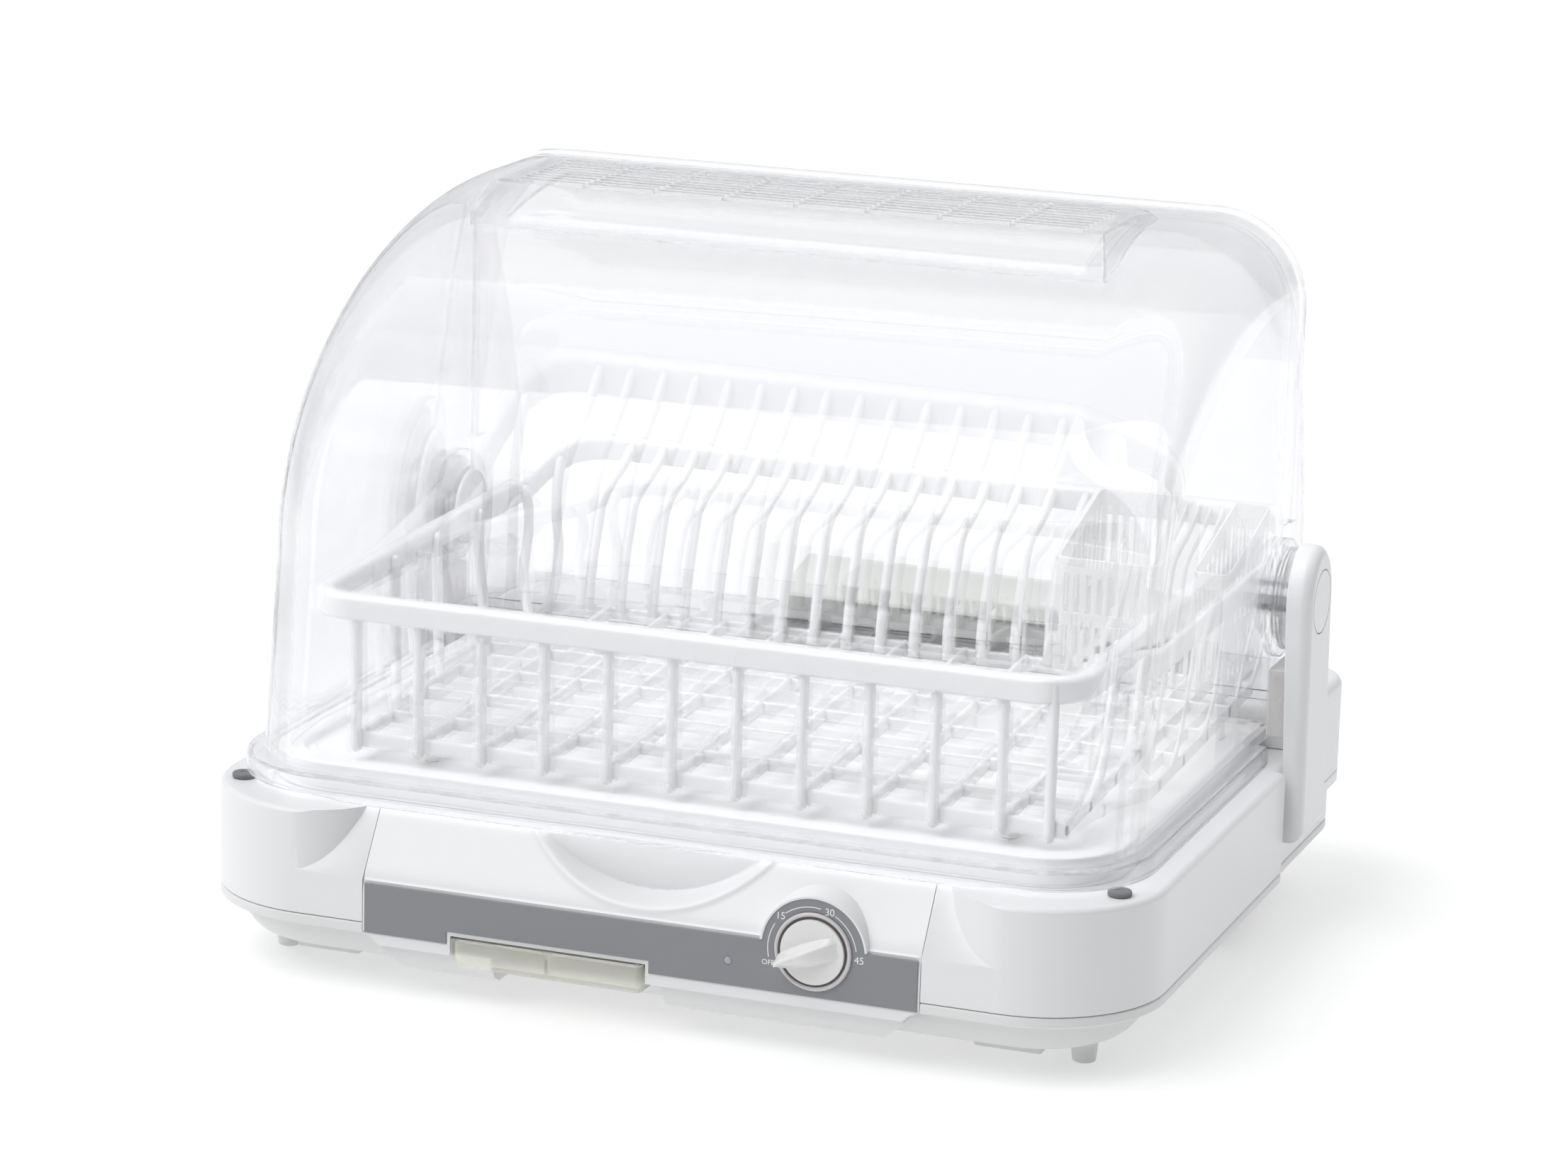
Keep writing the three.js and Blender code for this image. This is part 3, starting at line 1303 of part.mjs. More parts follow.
addPiece('vent_grille', makeVentGrille(), clear);
addPiece('rear_hood', makeRearHood(), clear);
addPiece('dish_basket', makeDishBasket(), basketWhite);
addPiece('cutlery_basket', makeCutleryBasket(), milky);

for (const [name, side] of [['left', -1], ['right', 1]]) {
  addPiece(`foot_front_${name}`, makeFoot(side, baseFront + footFrontInset), white);
  addPiece(`foot_rear_${name}`, makeFoot(side, baseBack - footRearInset), white);
  addPiece(`pillar_${name}`, makePillar(side), white);
  addPiece(`pivot_cap_${name}`, makePivotCap(side), white);
  addPiece(`pivot_pin_${name}`, makePivotPin(side), steel);
  addPiece(`hub_cap_${name}`, makeHubCap(side), white);
  addPiece(`washer_${name}`, makeWasher(side), milky);
  addPiece(`hinge_bracket_${name}`, makeHingeBracket(side), tinted);
  addPiece(`bumper_${name}`, makeBumper(side), rubber);
}

export default dryer;
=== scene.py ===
"""The looks of an electric dish dryer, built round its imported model.

Sizes are in millimetres in the body's own frame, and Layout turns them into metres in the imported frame.
"""

import logging
import math
from dataclasses import dataclass, field
from enum import Enum
from typing import Callable, Iterable, Sequence

import bmesh
import bpy
from mathutils import Matrix, Vector


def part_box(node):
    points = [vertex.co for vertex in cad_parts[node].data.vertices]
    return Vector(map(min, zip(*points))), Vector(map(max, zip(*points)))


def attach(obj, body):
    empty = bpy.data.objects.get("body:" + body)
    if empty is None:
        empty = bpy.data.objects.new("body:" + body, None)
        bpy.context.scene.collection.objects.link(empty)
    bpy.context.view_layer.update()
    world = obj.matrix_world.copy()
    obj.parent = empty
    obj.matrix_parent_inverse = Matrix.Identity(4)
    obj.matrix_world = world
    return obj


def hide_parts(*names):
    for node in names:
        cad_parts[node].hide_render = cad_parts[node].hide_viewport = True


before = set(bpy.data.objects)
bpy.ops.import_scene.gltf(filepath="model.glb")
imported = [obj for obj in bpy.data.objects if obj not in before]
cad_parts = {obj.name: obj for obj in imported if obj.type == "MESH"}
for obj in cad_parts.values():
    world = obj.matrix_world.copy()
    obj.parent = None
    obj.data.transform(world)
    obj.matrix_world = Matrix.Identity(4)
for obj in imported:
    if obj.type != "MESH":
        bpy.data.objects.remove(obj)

Flat = tuple[float, float]
Point = tuple[float, float, float]
Edge = tuple[Flat, Flat]
Nodes = bpy.types.Nodes
LOG = logging.getLogger("dish_dryer")
DIAL: Flat = (85.6, 51.0)
PIVOT: Flat = (89.3, 164.6)
DRAIN: Flat = (-43.5, -142.5)
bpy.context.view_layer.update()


class Layout:
    """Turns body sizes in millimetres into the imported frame's metres."""

    MILLIMETRE = 0.001
    DEPTH_SHIFT = 5.5

    @classmethod
    def matrix(cls) -> Matrix:
        """The whole change of frame as one matrix."""
        return Matrix.Scale(cls.MILLIMETRE, 4) @ Matrix.Translation((0, cls.DEPTH_SHIFT, 0))

    @classmethod
    def point(cls, x: float, y: float, z: float) -> Vector:
        """One body point in metres."""
        return cls.matrix() @ Vector((x, y, z))


class Axis(Enum):
    """The direction that an outline is drawn out along."""

    X = "x"
    Y = "y"
    Z = "z"

    def lift(self, u: float, v: float, along: float) -> Vector:
        """A point of an outline at a distance along this axis.

        Args:
            u: The outline's first coordinate, which is y for X and x otherwise.
            v: The outline's second coordinate, which is y for Z and z otherwise.
            along: The place along the axis.

        Returns:
            The point in the body's frame.
        """
        if self is Axis.X:
            return Vector((along, u, v))
        if self is Axis.Y:
            return Vector((u, along, v))
        return Vector((u, v, along))


class Operation(Enum):
    """How one solid acts on another."""

    JOIN = "UNION"
    CUT = "DIFFERENCE"
    KEEP = "INTERSECT"


@dataclass
class Form:
    """Closed bodies as points and faces, in millimetres."""

    points: list[Vector] = field(default_factory=list)
    faces: list[tuple[int, ...]] = field(default_factory=list)

    def add(self, *others: "Form") -> "Form":
        """Takes in other forms' points and faces.

        Args:
            others: The forms to take in.

        Returns:
            This form.
        """
        for other in others:
            start = len(self.points)
            self.points.extend(other.points)
            self.faces.extend(tuple(start + i for i in face) for face in other.faces)
        return self

    def sided(self, side: int) -> "Form":
        """This form for the right side (1), or mirrored for the left (-1)."""
        return Form([Vector((p.x * side, p.y, p.z)) for p in self.points], list(self.faces))

    def turned(self, matrix: Matrix) -> "Form":
        """A copy moved by a matrix."""
        return Form([matrix @ p for p in self.points], list(self.faces))

    def mesh(self, name: str) -> bpy.types.Mesh:
        """A mesh in metres with its doubles merged and its normals outward.

        Args:
            name: The mesh's name.

        Returns:
            The new mesh.
        """
        mesh = bpy.data.meshes.new(name)
        mesh.from_pydata([Layout.point(*p) for p in self.points], [], self.faces)
        work = bmesh.new()
        work.from_mesh(mesh)
        bmesh.ops.remove_doubles(work, verts=work.verts, dist=2e-6)
        bmesh.ops.dissolve_degenerate(work, dist=1e-7, edges=work.edges)
        bmesh.ops.recalc_face_normals(work, faces=work.faces)
        work.to_mesh(mesh)
        work.free()
        return mesh


class Shape:
    """Makes the forms that the pieces are built from."""

    @staticmethod
    def loft(rings: Sequence[Sequence[Vector]], closed: bool = False, capped: bool = True) -> Form:
        """A skin through rings of equally many points.

        Args:
            rings: The rings in order.
            closed: Whether the last ring joins the first.
            capped: Whether the end rings are filled.

        Returns:
            The form.
        """
        size = len(rings[0])
        form = Form([p for ring in rings for p in ring])
        spans = len(rings) if closed else len(rings) - 1
        for step in range(spans):
            here, there = step * size, (step + 1) % len(rings) * size
            form.faces += [
                (here + i, here + (i + 1) % size, there + (i + 1) % size, there + i) for i in range(size)
            ]
        if capped and not closed:
            last = (len(rings) - 1) * size
            form.faces += [tuple(reversed(range(size))), tuple(last + i for i in range(size))]
        return form

    @staticmethod
    def inset(outline: Sequence[Flat], distance: float) -> list[Flat]:
        """An outline drawn in by a distance, with its corners kept.

        Args:
            outline: The points, anticlockwise.
            distance: How far in; a negative value goes out.

        Returns:
            As many points as the outline has.
        """
        count, result = len(outline), []
        for i, (u, v) in enumerate(outline):
            before = Vector(outline[i]) - Vector(outline[i - 1])
            after = Vector(outline[(i + 1) % count]) - Vector(outline[i])
            first = Vector((-before.y, before.x)).normalized()
            second = Vector((-after.y, after.x)).normalized()
            middle = first + second
            scale = distance / max(middle.dot(first), 0.25)
            result.append((u + middle.x * scale, v + middle.y * scale))
        return result

    @classmethod
    def stack(cls, outline: Sequence[Flat], levels: Sequence[Flat], axis: Axis = Axis.Z) -> Form:
        """An outline lofted through levels of inset and place.

        Args:
            outline: The points, anticlockwise.
            levels: Pairs of inset and place along the axis.
            axis: The direction of the loft.

        Returns:
            The closed form.
        """
        rings = [[axis.lift(u, v, along) for u, v in cls.inset(outline, inset)] for inset, along in levels]
        return cls.loft(rings)

    @classmethod
    def slab(cls, outline: Sequence[Flat], low: float, high: float, axis: Axis = Axis.Z,
             low_round: float = 0.0, high_round: float = 0.0, steps: int = 4) -> Form:
        """An outline drawn out along an axis with rounded end edges.

        Args:
            outline: The points, anticlockwise.
            low: Where it starts.
            high: Where it ends.
            axis: The direction.
            low_round: The radius of the edge at the start.
            high_round: The radius of the edge at the end.
            steps: How many facets a rounding has.

        Returns:
            The closed form.
        """
        turns = [math.pi / 2 * i / steps for i in range(steps + 1)]
        start = [(low_round * (1 - math.sin(t)), low + low_round * (1 - math.cos(t))) for t in turns]
        end = [(high_round * (1 - math.cos(t)), high - high_round * (1 - math.sin(t))) for t in turns]
        levels = (start if low_round else [(0.0, low)]) + (end if high_round else [(0.0, high)])
        return cls.stack(outline, levels, axis)

    @classmethod
    def block(cls, x: Flat, y: Flat, z: Flat, rounding: float = 0.0, axis: Axis = Axis.Z) -> Form:
        """A box with rounded edges.

        Args:
            x: Its ends along x.
            y: Its ends along y.
            z: Its ends along z.
            rounding: The radius of its edges.
            axis: The direction that it is drawn out along.

        Returns:
            The closed form.
        """
        spans = {Axis.X: (y, z, x), Axis.Y: (x, z, y), Axis.Z: (x, y, z)}[axis]
        outline = cls.rectangle(spans[0], spans[1], rounding)
        return cls.slab(outline, spans[2][0], spans[2][1], axis, rounding, rounding, 3)

    @staticmethod
    def arc(centre: Flat, radii: Flat, start: float, end: float, steps: int) -> list[Flat]:
        """Points on part of an ellipse, with the angles in degrees.

        Args:
            centre: The ellipse's centre.
            radii: Its two radii.
            start: The first angle.
            end: The last angle.
            steps: How many spans the arc has.

        Returns:
            One more point than there are spans.
        """
        angles = [math.radians(start + (end - start) * i / steps) for i in range(steps + 1)]
        return [(centre[0] + radii[0] * math.cos(a), centre[1] + radii[1] * math.sin(a)) for a in angles]

    @classmethod
    def rectangle(cls, u: Flat, v: Flat, radius: float | Sequence[float], steps: int = 4) -> list[Flat]:
        """A rectangle with rounded corners, anticlockwise from its low corner.

        Args:
            u: Its ends in the first coordinate.
            v: Its ends in the second coordinate.
            radius: One radius, or one each for low left, low right, high right and high left.
            steps: How many facets a corner has.

        Returns:
            The outline.
        """
        radii = [radius] * 4 if isinstance(radius, (int, float)) else list(radius)
        corners = [(u[0], v[0], 1, 1, 180), (u[1], v[0], -1, 1, 270), (u[1], v[1], -1, -1, 0),
                   (u[0], v[1], 1, -1, 90)]
        outline: list[Flat] = []
        for (cu, cv, du, dv, start), r in zip(corners, radii):
            if r <= 0:
                outline.append((cu, cv))
            else:
                outline += cls.arc((cu + du * r, cv + dv * r), (r, r), start, start + 90, steps)
        return outline

    @classmethod
    def lathe(cls, profile: Sequence[Flat], centre: Point, axis: Axis, sides: int = 48) -> Form:
        """A profile turned round an axis.

        Args:
            profile: Pairs of radius and place along the axis.
            centre: The axis's point.
            axis: Its direction.
            sides: How many facets go round.

        Returns:
            The closed form.
        """
        offset, least = Vector(centre), 1e-4
        angles = [2 * math.pi * i / sides for i in range(sides)]
        rings = []
        for radius, along in profile:
            r = max(radius, least)
            rings.append([axis.lift(r * math.cos(a), r * math.sin(a), along) + offset for a in angles])
        return cls.loft(rings)

    @classmethod
    def hoop(cls, profile: Sequence[Flat], centre: Point, axis: Axis, sides: int) -> Form:
        """A closed outline turned round an axis into a ring.

        Args:
            profile: Pairs of radius and place along the axis.
            centre: The axis's point.
            axis: Its direction.
            sides: How many facets go round.

        Returns:
            The closed form.
        """
        offset, rings = Vector(centre), []
        for a in (2 * math.pi * i / sides for i in range(sides)):
            rings.append([axis.lift(r * math.cos(a), r * math.sin(a), along) + offset for r, along in profile])
        return cls.loft(rings, closed=True)

    @staticmethod
    def crown(top: float, radius: float) -> list[Flat]:
        """Levels of inset and height that round a form's upper edge over."""
        return [(radius * (1 - math.cos(t)), top - radius + radius * math.sin(t)) for t in (0.3, 0.6, 0.9, 1.2, 1.5708)]

    @staticmethod
    def stations(outline: Sequence[Flat], spacing: float) -> list[tuple[Vector, Vector]]:
        """Points along a closed outline, with the directions across it.

        Args:
            outline: The points, anticlockwise.
            spacing: About how far apart the points are.

        Returns:
            Each point at height 0 with the level direction that leads outwards.
        """
        line: list[Vector] = []
        for (x0, y0), (x1, y1) in zip(outline, [*outline[1:], outline[0]]):
            parts = max(1, int(math.hypot(x1 - x0, y1 - y0) / spacing))
            line += [Vector((x0 + (x1 - x0) * k / parts, y0 + (y1 - y0) * k / parts, 0)) for k in range(parts)]
        runs = [(line[(i + 1) % len(line)] - line[i - 1]).normalized() for i in range(len(line))]
        return [(point, Vector((run.y, -run.x, 0))) for point, run in zip(line, runs)]

    @classmethod
    def tube(cls, path: Sequence[Vector], radius: float, sides: int, up: Vector = Vector((0, 0, 1))) -> Form:
        """A round rod with domed ends along a path.

        Args:
            path: The points of its middle line.
            radius: Its radius.
            sides: How many facets go round.
            up: The direction that its facets are laid out from.

        Returns:
            The closed form.
        """
        end, rings = len(path) - 1, []
        dome = [(math.sin(t), math.cos(t)) for t in (0.0, 0.6, 1.1, 1.45)]
        for i, point in enumerate(path):
            run = (path[min(i + 1, end)] - path[max(i - 1, 0)]).normalized()
            across = run.cross(up)
            across = (across if across.length > 0.05 else run.cross(Vector((0, 1, 0.01)))).normalized()
            over = across.cross(run).normalized()
            steps = [(0.0, 1.0)]
            if i == 0:
                steps = [(-radius * rise, scale) for rise, scale in reversed(dome)]
            elif i == end:
                steps = [(radius * rise, scale) for rise, scale in dome]
            for shift, scale in steps:
                rings.append([
                    point + run * shift + across * (radius * scale * math.cos(a))
                    + over * (radius * scale * math.sin(a))
                    for a in (2 * math.pi * k / sides for k in range(sides))
                ])
        return cls.loft(rings)

    @staticmethod
    def curve(points: Sequence[Vector], steps: int = 6) -> list[Vector]:
        """A smooth line through points.

        Args:
            points: The points that it passes through.
            steps: How many spans lie between two of them.

        Returns:
            The line's points.
        """
        ends = [points[0] * 2 - points[1], *points, points[-1] * 2 - points[-2]]
        line: list[Vector] = []
        for a, b, c, d in zip(ends, ends[1:], ends[2:], ends[3:]):
            for k in range(steps):
                t = k / steps
                line.append(0.5 * (2 * b + (c - a) * t + (2 * a - 5 * b + 4 * c - d) * t ** 2
                                   + (3 * b - a - 3 * c + d) * t ** 3))
        return [*line, points[-1].copy()]


class Workshop:
    """Turns forms into finished objects."""

    @staticmethod
    def place(name: str, data: bpy.types.ID) -> bpy.types.Object:
        """A new object in the scene.

        Args:
            name: The object's name.
            data: Its mesh, curve, camera or light.

        Returns:
            The object.
        """
        obj = bpy.data.objects.new(name, data)
        bpy.context.scene.collection.objects.link(obj)
        return obj

    @classmethod
    def raw(cls, form: Form, name: str) -> bpy.types.Object:
        """A new object with a form's merged mesh."""
        return cls.place(name, form.mesh(name))

    @classmethod
    def sheet(cls, form: Form, name: str) -> bpy.types.Object:
        """A new object with a form's faces just as they are.

        Args:
            form: The form.
            name: The object's name.

        Returns:
            The object.
        """
        mesh = bpy.data.meshes.new(name)
        mesh.from_pydata([Layout.point(*p) for p in form.points], [], form.faces)
        return cls.place(name, mesh)

    @staticmethod
    def unmake(obj: bpy.types.Object) -> Form:
        """Turns a working object back into a form.

        Args:
            obj: The object, which is removed.

        Returns:
            The form.
        """
        back = Layout.matrix().inverted()
        form = Form([back @ v.co for v in obj.data.vertices], [tuple(p.vertices) for p in obj.data.polygons])
        bpy.data.meshes.remove(obj.data)
        return form

    @staticmethod
    def boolean(obj: bpy.types.Object, tool: bpy.types.Object, operation: Operation) -> None:
        """Gives an object a modifier that acts on it with another.

        Args:
            obj: The object to change.
            tool: The object that changes it.
            operation: What is done.
        """
        modifier = obj.modifiers.new("step", "BOOLEAN")
        modifier.operation = operation.value
        modifier.object = tool
        modifier.solver = "MANIFOLD"

    @classmethod
    def modify(cls, obj: bpy.types.Object, tool: bpy.types.Object, operation: Operation) -> None:
        """Acts on one object with another, which is then removed.

        Args:
            obj: The object to change.
            tool: The object that changes it.
            operation: What is done.
        """
        cls.boolean(obj, tool, operation)
        cls.apply(obj)
        bpy.data.meshes.remove(tool.data)

    @staticmethod
    def apply(obj: bpy.types.Object) -> None:
        """Puts an object's modifiers into its mesh.

        Args:
            obj: The object.
        """
        graph = bpy.context.evaluated_depsgraph_get()
        graph.update()
        mesh = bpy.data.meshes.new_from_object(obj.evaluated_get(graph))
        obj.modifiers.clear()
        old, obj.data = obj.data, mesh
        bpy.data.meshes.remove(old)
        mesh.name = obj.name

    @classmethod
    def combine(cls, name: str, start: Form, steps: Iterable[tuple[Operation, Form]]) -> bpy.types.Object:
        """A solid made from others.

        Args:
            name: The new object's name.
            start: The first solid.
            steps: What is done to it, in order.

        Returns:
            The object.
        """
        obj = cls.raw(start, name)
        tools = []
        for i, (operation, form) in enumerate(steps):
            tools.append(cls.raw(form, f"{name}_tool_{i}"))
            cls.boolean(obj, tools[-1], operation)
        before = len(obj.data.polygons)
        cls.apply(obj)
        if not obj.data.polygons:
            raise RuntimeError(f"{name}: nothing is left of {before} faces")
        for tool in tools:
            bpy.data.meshes.remove(tool.data)
        return obj

    @classmethod
    def soften(cls, obj: bpy.types.Object, width: float, segments: int = 2, angle: float = 32.0) -> None:
        """Rounds an object's sharp edges.

        Args:
            obj: The object.
            width: The rounding in millimetres.
            segments: How many facets it has.
            angle: The least angle in degrees that counts as sharp.
        """
        bevel = obj.modifiers.new("soft_edges", "BEVEL")
        bevel.width = width * Layout.MILLIMETRE
        bevel.segments = segments
        bevel.limit_method = "ANGLE"
        bevel.angle_limit = math.radians(angle)
        bevel.use_clamp_overlap = True
        bevel.miter_outer = "MITER_ARC"
        cls.apply(obj)

    @staticmethod
    def shade(obj: bpy.types.Object, angle: float = 40.0) -> None:
        """Shades an object smooth but for its sharp edges.

        Args:
            obj: The object.
            angle: The least angle in degrees that stays sharp.
        """
        obj.data.shade_smooth()
        obj.data.set_sharp_from_angle(angle=math.radians(angle))
        weighted = obj.modifiers.new("weighted", "WEIGHTED_NORMAL")
        weighted.keep_sharp = True

    @classmethod
    def finish(cls, obj: bpy.types.Object, finish: "Finish", body: str, slot: str,
               replaces: Sequence[str] = (), angle: float = 40.0) -> bpy.types.Object:
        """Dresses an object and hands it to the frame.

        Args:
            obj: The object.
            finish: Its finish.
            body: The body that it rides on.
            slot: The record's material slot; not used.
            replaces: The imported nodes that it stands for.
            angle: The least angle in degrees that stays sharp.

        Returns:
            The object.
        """
        cls.shade(obj, angle)
        cls.apply(obj)
        obj.data.materials.clear()
        obj.data.materials.append(finish.material())
        obj.visible_shadow = finish.shadow
        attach(obj, body)
        if replaces:
            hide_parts(*replaces)
        LOG.info("%s: %d faces on %s", obj.name, len(obj.data.polygons), body)
        return obj

    @classmethod
    def make(cls, name: str, form: Form, finish: "Finish", body: str, slot: str, replaces: Sequence[str] = (),
             angle: float = 40.0) -> bpy.types.Object:
        """Makes a finished object straight from a form."""
        return cls.finish(cls.raw(form, name), finish, body, slot, replaces, angle)


@dataclass(frozen=True)
class Finish:
    """A moulded surface: its colour with a faint drift, and its grain."""

    name: str
    colour: Point
    drift: Point
    roughness: float = 0.35
    roughness_spread: float = 0.06
    grain_scale: float = 900.0
    grain_height: float = 0.06
    ripple_scale: float = 45.0
    ripple_height: float = 0.0
    coat: float = 0.0
    metal: float = 0.0
    transmission: float = 0.0
    index: float = 1.46
    alpha: float = 1.0
    scatter: float = 0.0
    shadow: bool = True
    edge_alpha: float = 0.0

    def material(self) -> bpy.types.Material:
        """The finish's material, made once.

        Returns:
            The material.
        """
        found = bpy.data.materials.get(self.name)
        if found:
            return found
        material = bpy.data.materials.new(self.name)
        material.use_nodes = True
        nodes, links = material.node_tree.nodes, material.node_tree.links
        shader = nodes["Principled BSDF"]
        self.constants(shader)
        where = nodes.new("ShaderNodeTexCoord")
        drift = self.noise(nodes, links, where, 14.0, 3.0)
        mix = nodes.new("ShaderNodeMix")
        mix.data_type = "RGBA"
        mix.inputs["A"].default_value = (*self.colour, 1)
        mix.inputs["B"].default_value = (*self.drift, 1)
        links.new(drift.outputs["Fac"], mix.inputs["Factor"])
        links.new(mix.outputs["Result"], shader.inputs["Base Color"])
        rough = self.noise(nodes, links, where, self.grain_scale / 6, 4.0)
        spread = nodes.new("ShaderNodeMapRange")
        spread.inputs["To Min"].default_value = max(self.roughness - self.roughness_spread, 0.0)
        spread.inputs["To Max"].default_value = self.roughness + self.roughness_spread
        links.new(rough.outputs["Fac"], spread.inputs["Value"])
        links.new(spread.outputs["Result"], shader.inputs["Roughness"])
        links.new(self.relief(nodes, links, where), shader.inputs["Normal"])
        if self.edge_alpha:
            self.fade(nodes, links, shader)
        self.extras(nodes, links, where, shader)
        return material

    def fade(self, nodes: Nodes, links: bpy.types.NodeLinks, shader: bpy.types.Node) -> None:
        """Makes the surface show more where it turns away.

        Args:
            nodes: The tree's nodes.
            links: The tree's links.
            shader: The main shader.
        """
        facing = nodes.new("ShaderNodeLayerWeight")
        facing.inputs["Blend"].default_value = 0.5
        span = nodes.new("ShaderNodeMapRange")
        span.inputs["From Min"].default_value = 0.45
        span.inputs["From Max"].default_value = 0.92
        span.inputs["To Min"].default_value = self.alpha
        span.inputs["To Max"].default_value = self.edge_alpha
        links.new(facing.outputs["Facing"], span.inputs["Value"])
        links.new(span.outputs["Result"], shader.inputs["Alpha"])

    def constants(self, shader: bpy.types.Node) -> None:
        """Sets what is the same all over the surface.

        Args:
            shader: The main shader.
        """
        shader.inputs["Metallic"].default_value = self.metal
        shader.inputs["IOR"].default_value = self.index
        shader.inputs["Coat Weight"].default_value = self.coat
        shader.inputs["Coat Roughness"].default_value = 0.08
        shader.inputs["Transmission Weight"].default_value = self.transmission
        shader.inputs["Alpha"].default_value = self.alpha
        shader.inputs["Subsurface Weight"].default_value = self.scatter
        shader.inputs["Subsurface Radius"].default_value = (0.004, 0.004, 0.004)
        shader.inputs["Subsurface Scale"].default_value = 1.0

    @staticmethod
    def noise(nodes: Nodes, links: bpy.types.NodeLinks, where: bpy.types.Node, scale: float,
              detail: float) -> bpy.types.Node:
        """A noise texture in the object's own coordinates.

        Args:
            nodes: The tree's nodes.
            links: The tree's links.
            where: The coordinate node.
            scale: The noise's scale per metre.
            detail: Its detail.

        Returns:
            The noise node.
        """
        noise = nodes.new("ShaderNodeTexNoise")
        noise.inputs["Scale"].default_value = scale
        noise.inputs["Detail"].default_value = detail
        links.new(where.outputs["Object"], noise.inputs["Vector"])
        return noise

    def relief(self, nodes: Nodes, links: bpy.types.NodeLinks, where: bpy.types.Node) -> bpy.types.NodeSocket:
        """The bump of the grain and of the slow ripple.

        Args:
            nodes: The tree's nodes.
            links: The tree's links.
            where: The coordinate node.

        Returns:
            The normal's socket.
        """
        grain = self.noise(nodes, links, where, self.grain_scale, 2.0)
        bump = nodes.new("ShaderNodeBump")
        bump.inputs["Strength"].default_value = self.grain_height
        bump.inputs["Distance"].default_value = 0.0002
        links.new(grain.outputs["Fac"], bump.inputs["Height"])
        if self.ripple_height:
            ripple = self.noise(nodes, links, where, self.ripple_scale, 1.0)
            slow = nodes.new("ShaderNodeBump")
            slow.inputs["Strength"].default_value = self.ripple_height
            slow.inputs["Distance"].default_value = 0.001
            links.new(ripple.outputs["Fac"], slow.inputs["Height"])
            links.new(slow.outputs["Normal"], bump.inputs["Normal"])
        return bump.outputs["Normal"]

    def extras(self, nodes: Nodes, links: bpy.types.NodeLinks, where: bpy.types.Node,
               shader: bpy.types.Node) -> None:
        """Room for a finish to add nodes of its own."""


@dataclass(frozen=True)
class BoardFinish(Finish):
    """A moulded tray with a fine ribbed texture on its floor."""

    def extras(self, nodes: Nodes, links: bpy.types.NodeLinks, where: bpy.types.Node,
               shader: bpy.types.Node) -> None:
        """Adds the floor's fine cross ribs to the bump.

        Args:
            nodes: The tree's nodes.
            links: The tree's links.
            where: The coordinate node.
            shader: The main shader.
        """
        wave = nodes.new("ShaderNodeTexWave")
        wave.inputs["Scale"].default_value = 420.0
        wave.inputs["Distortion"].default_value = 0.4
        links.new(where.outputs["Object"], wave.inputs["Vector"])
        bump = nodes.new("ShaderNodeBump")
        bump.inputs["Strength"].default_value = 0.10
        bump.inputs["Distance"].default_value = 0.0003
        links.new(wave.outputs["Fac"], bump.inputs["Height"])
        links.new(shader.inputs["Normal"].links[0].from_socket, bump.inputs["Normal"])
        links.new(bump.outputs["Normal"], shader.inputs["Normal"])


@dataclass(frozen=True)
class BrushedFinish(Finish):
    """Metal with a drawn grain along x."""

    def extras(self, nodes: Nodes, links: bpy.types.NodeLinks, where: bpy.types.Node,
               shader: bpy.types.Node) -> None:
        """Adds the drawn lines to the bump.

        Args:
            nodes: The tree's nodes.
            links: The tree's links.
            where: The coordinate node.
            shader: The main shader.
        """
        stretch = nodes.new("ShaderNodeMapping")
        stretch.inputs["Scale"].default_value = (40.0, 1800.0, 1800.0)
        lines = nodes.new("ShaderNodeTexNoise")
        lines.inputs["Scale"].default_value = 1.0
        bump = nodes.new("ShaderNodeBump")
        bump.inputs["Strength"].default_value = 0.25
        bump.inputs["Distance"].default_value = 0.0002
        links.new(where.outputs["Object"], stretch.inputs["Vector"])
        links.new(stretch.outputs["Vector"], lines.inputs["Vector"])
        links.new(lines.outputs["Fac"], bump.inputs["Height"])
        links.new(bump.outputs["Normal"], shader.inputs["Normal"])


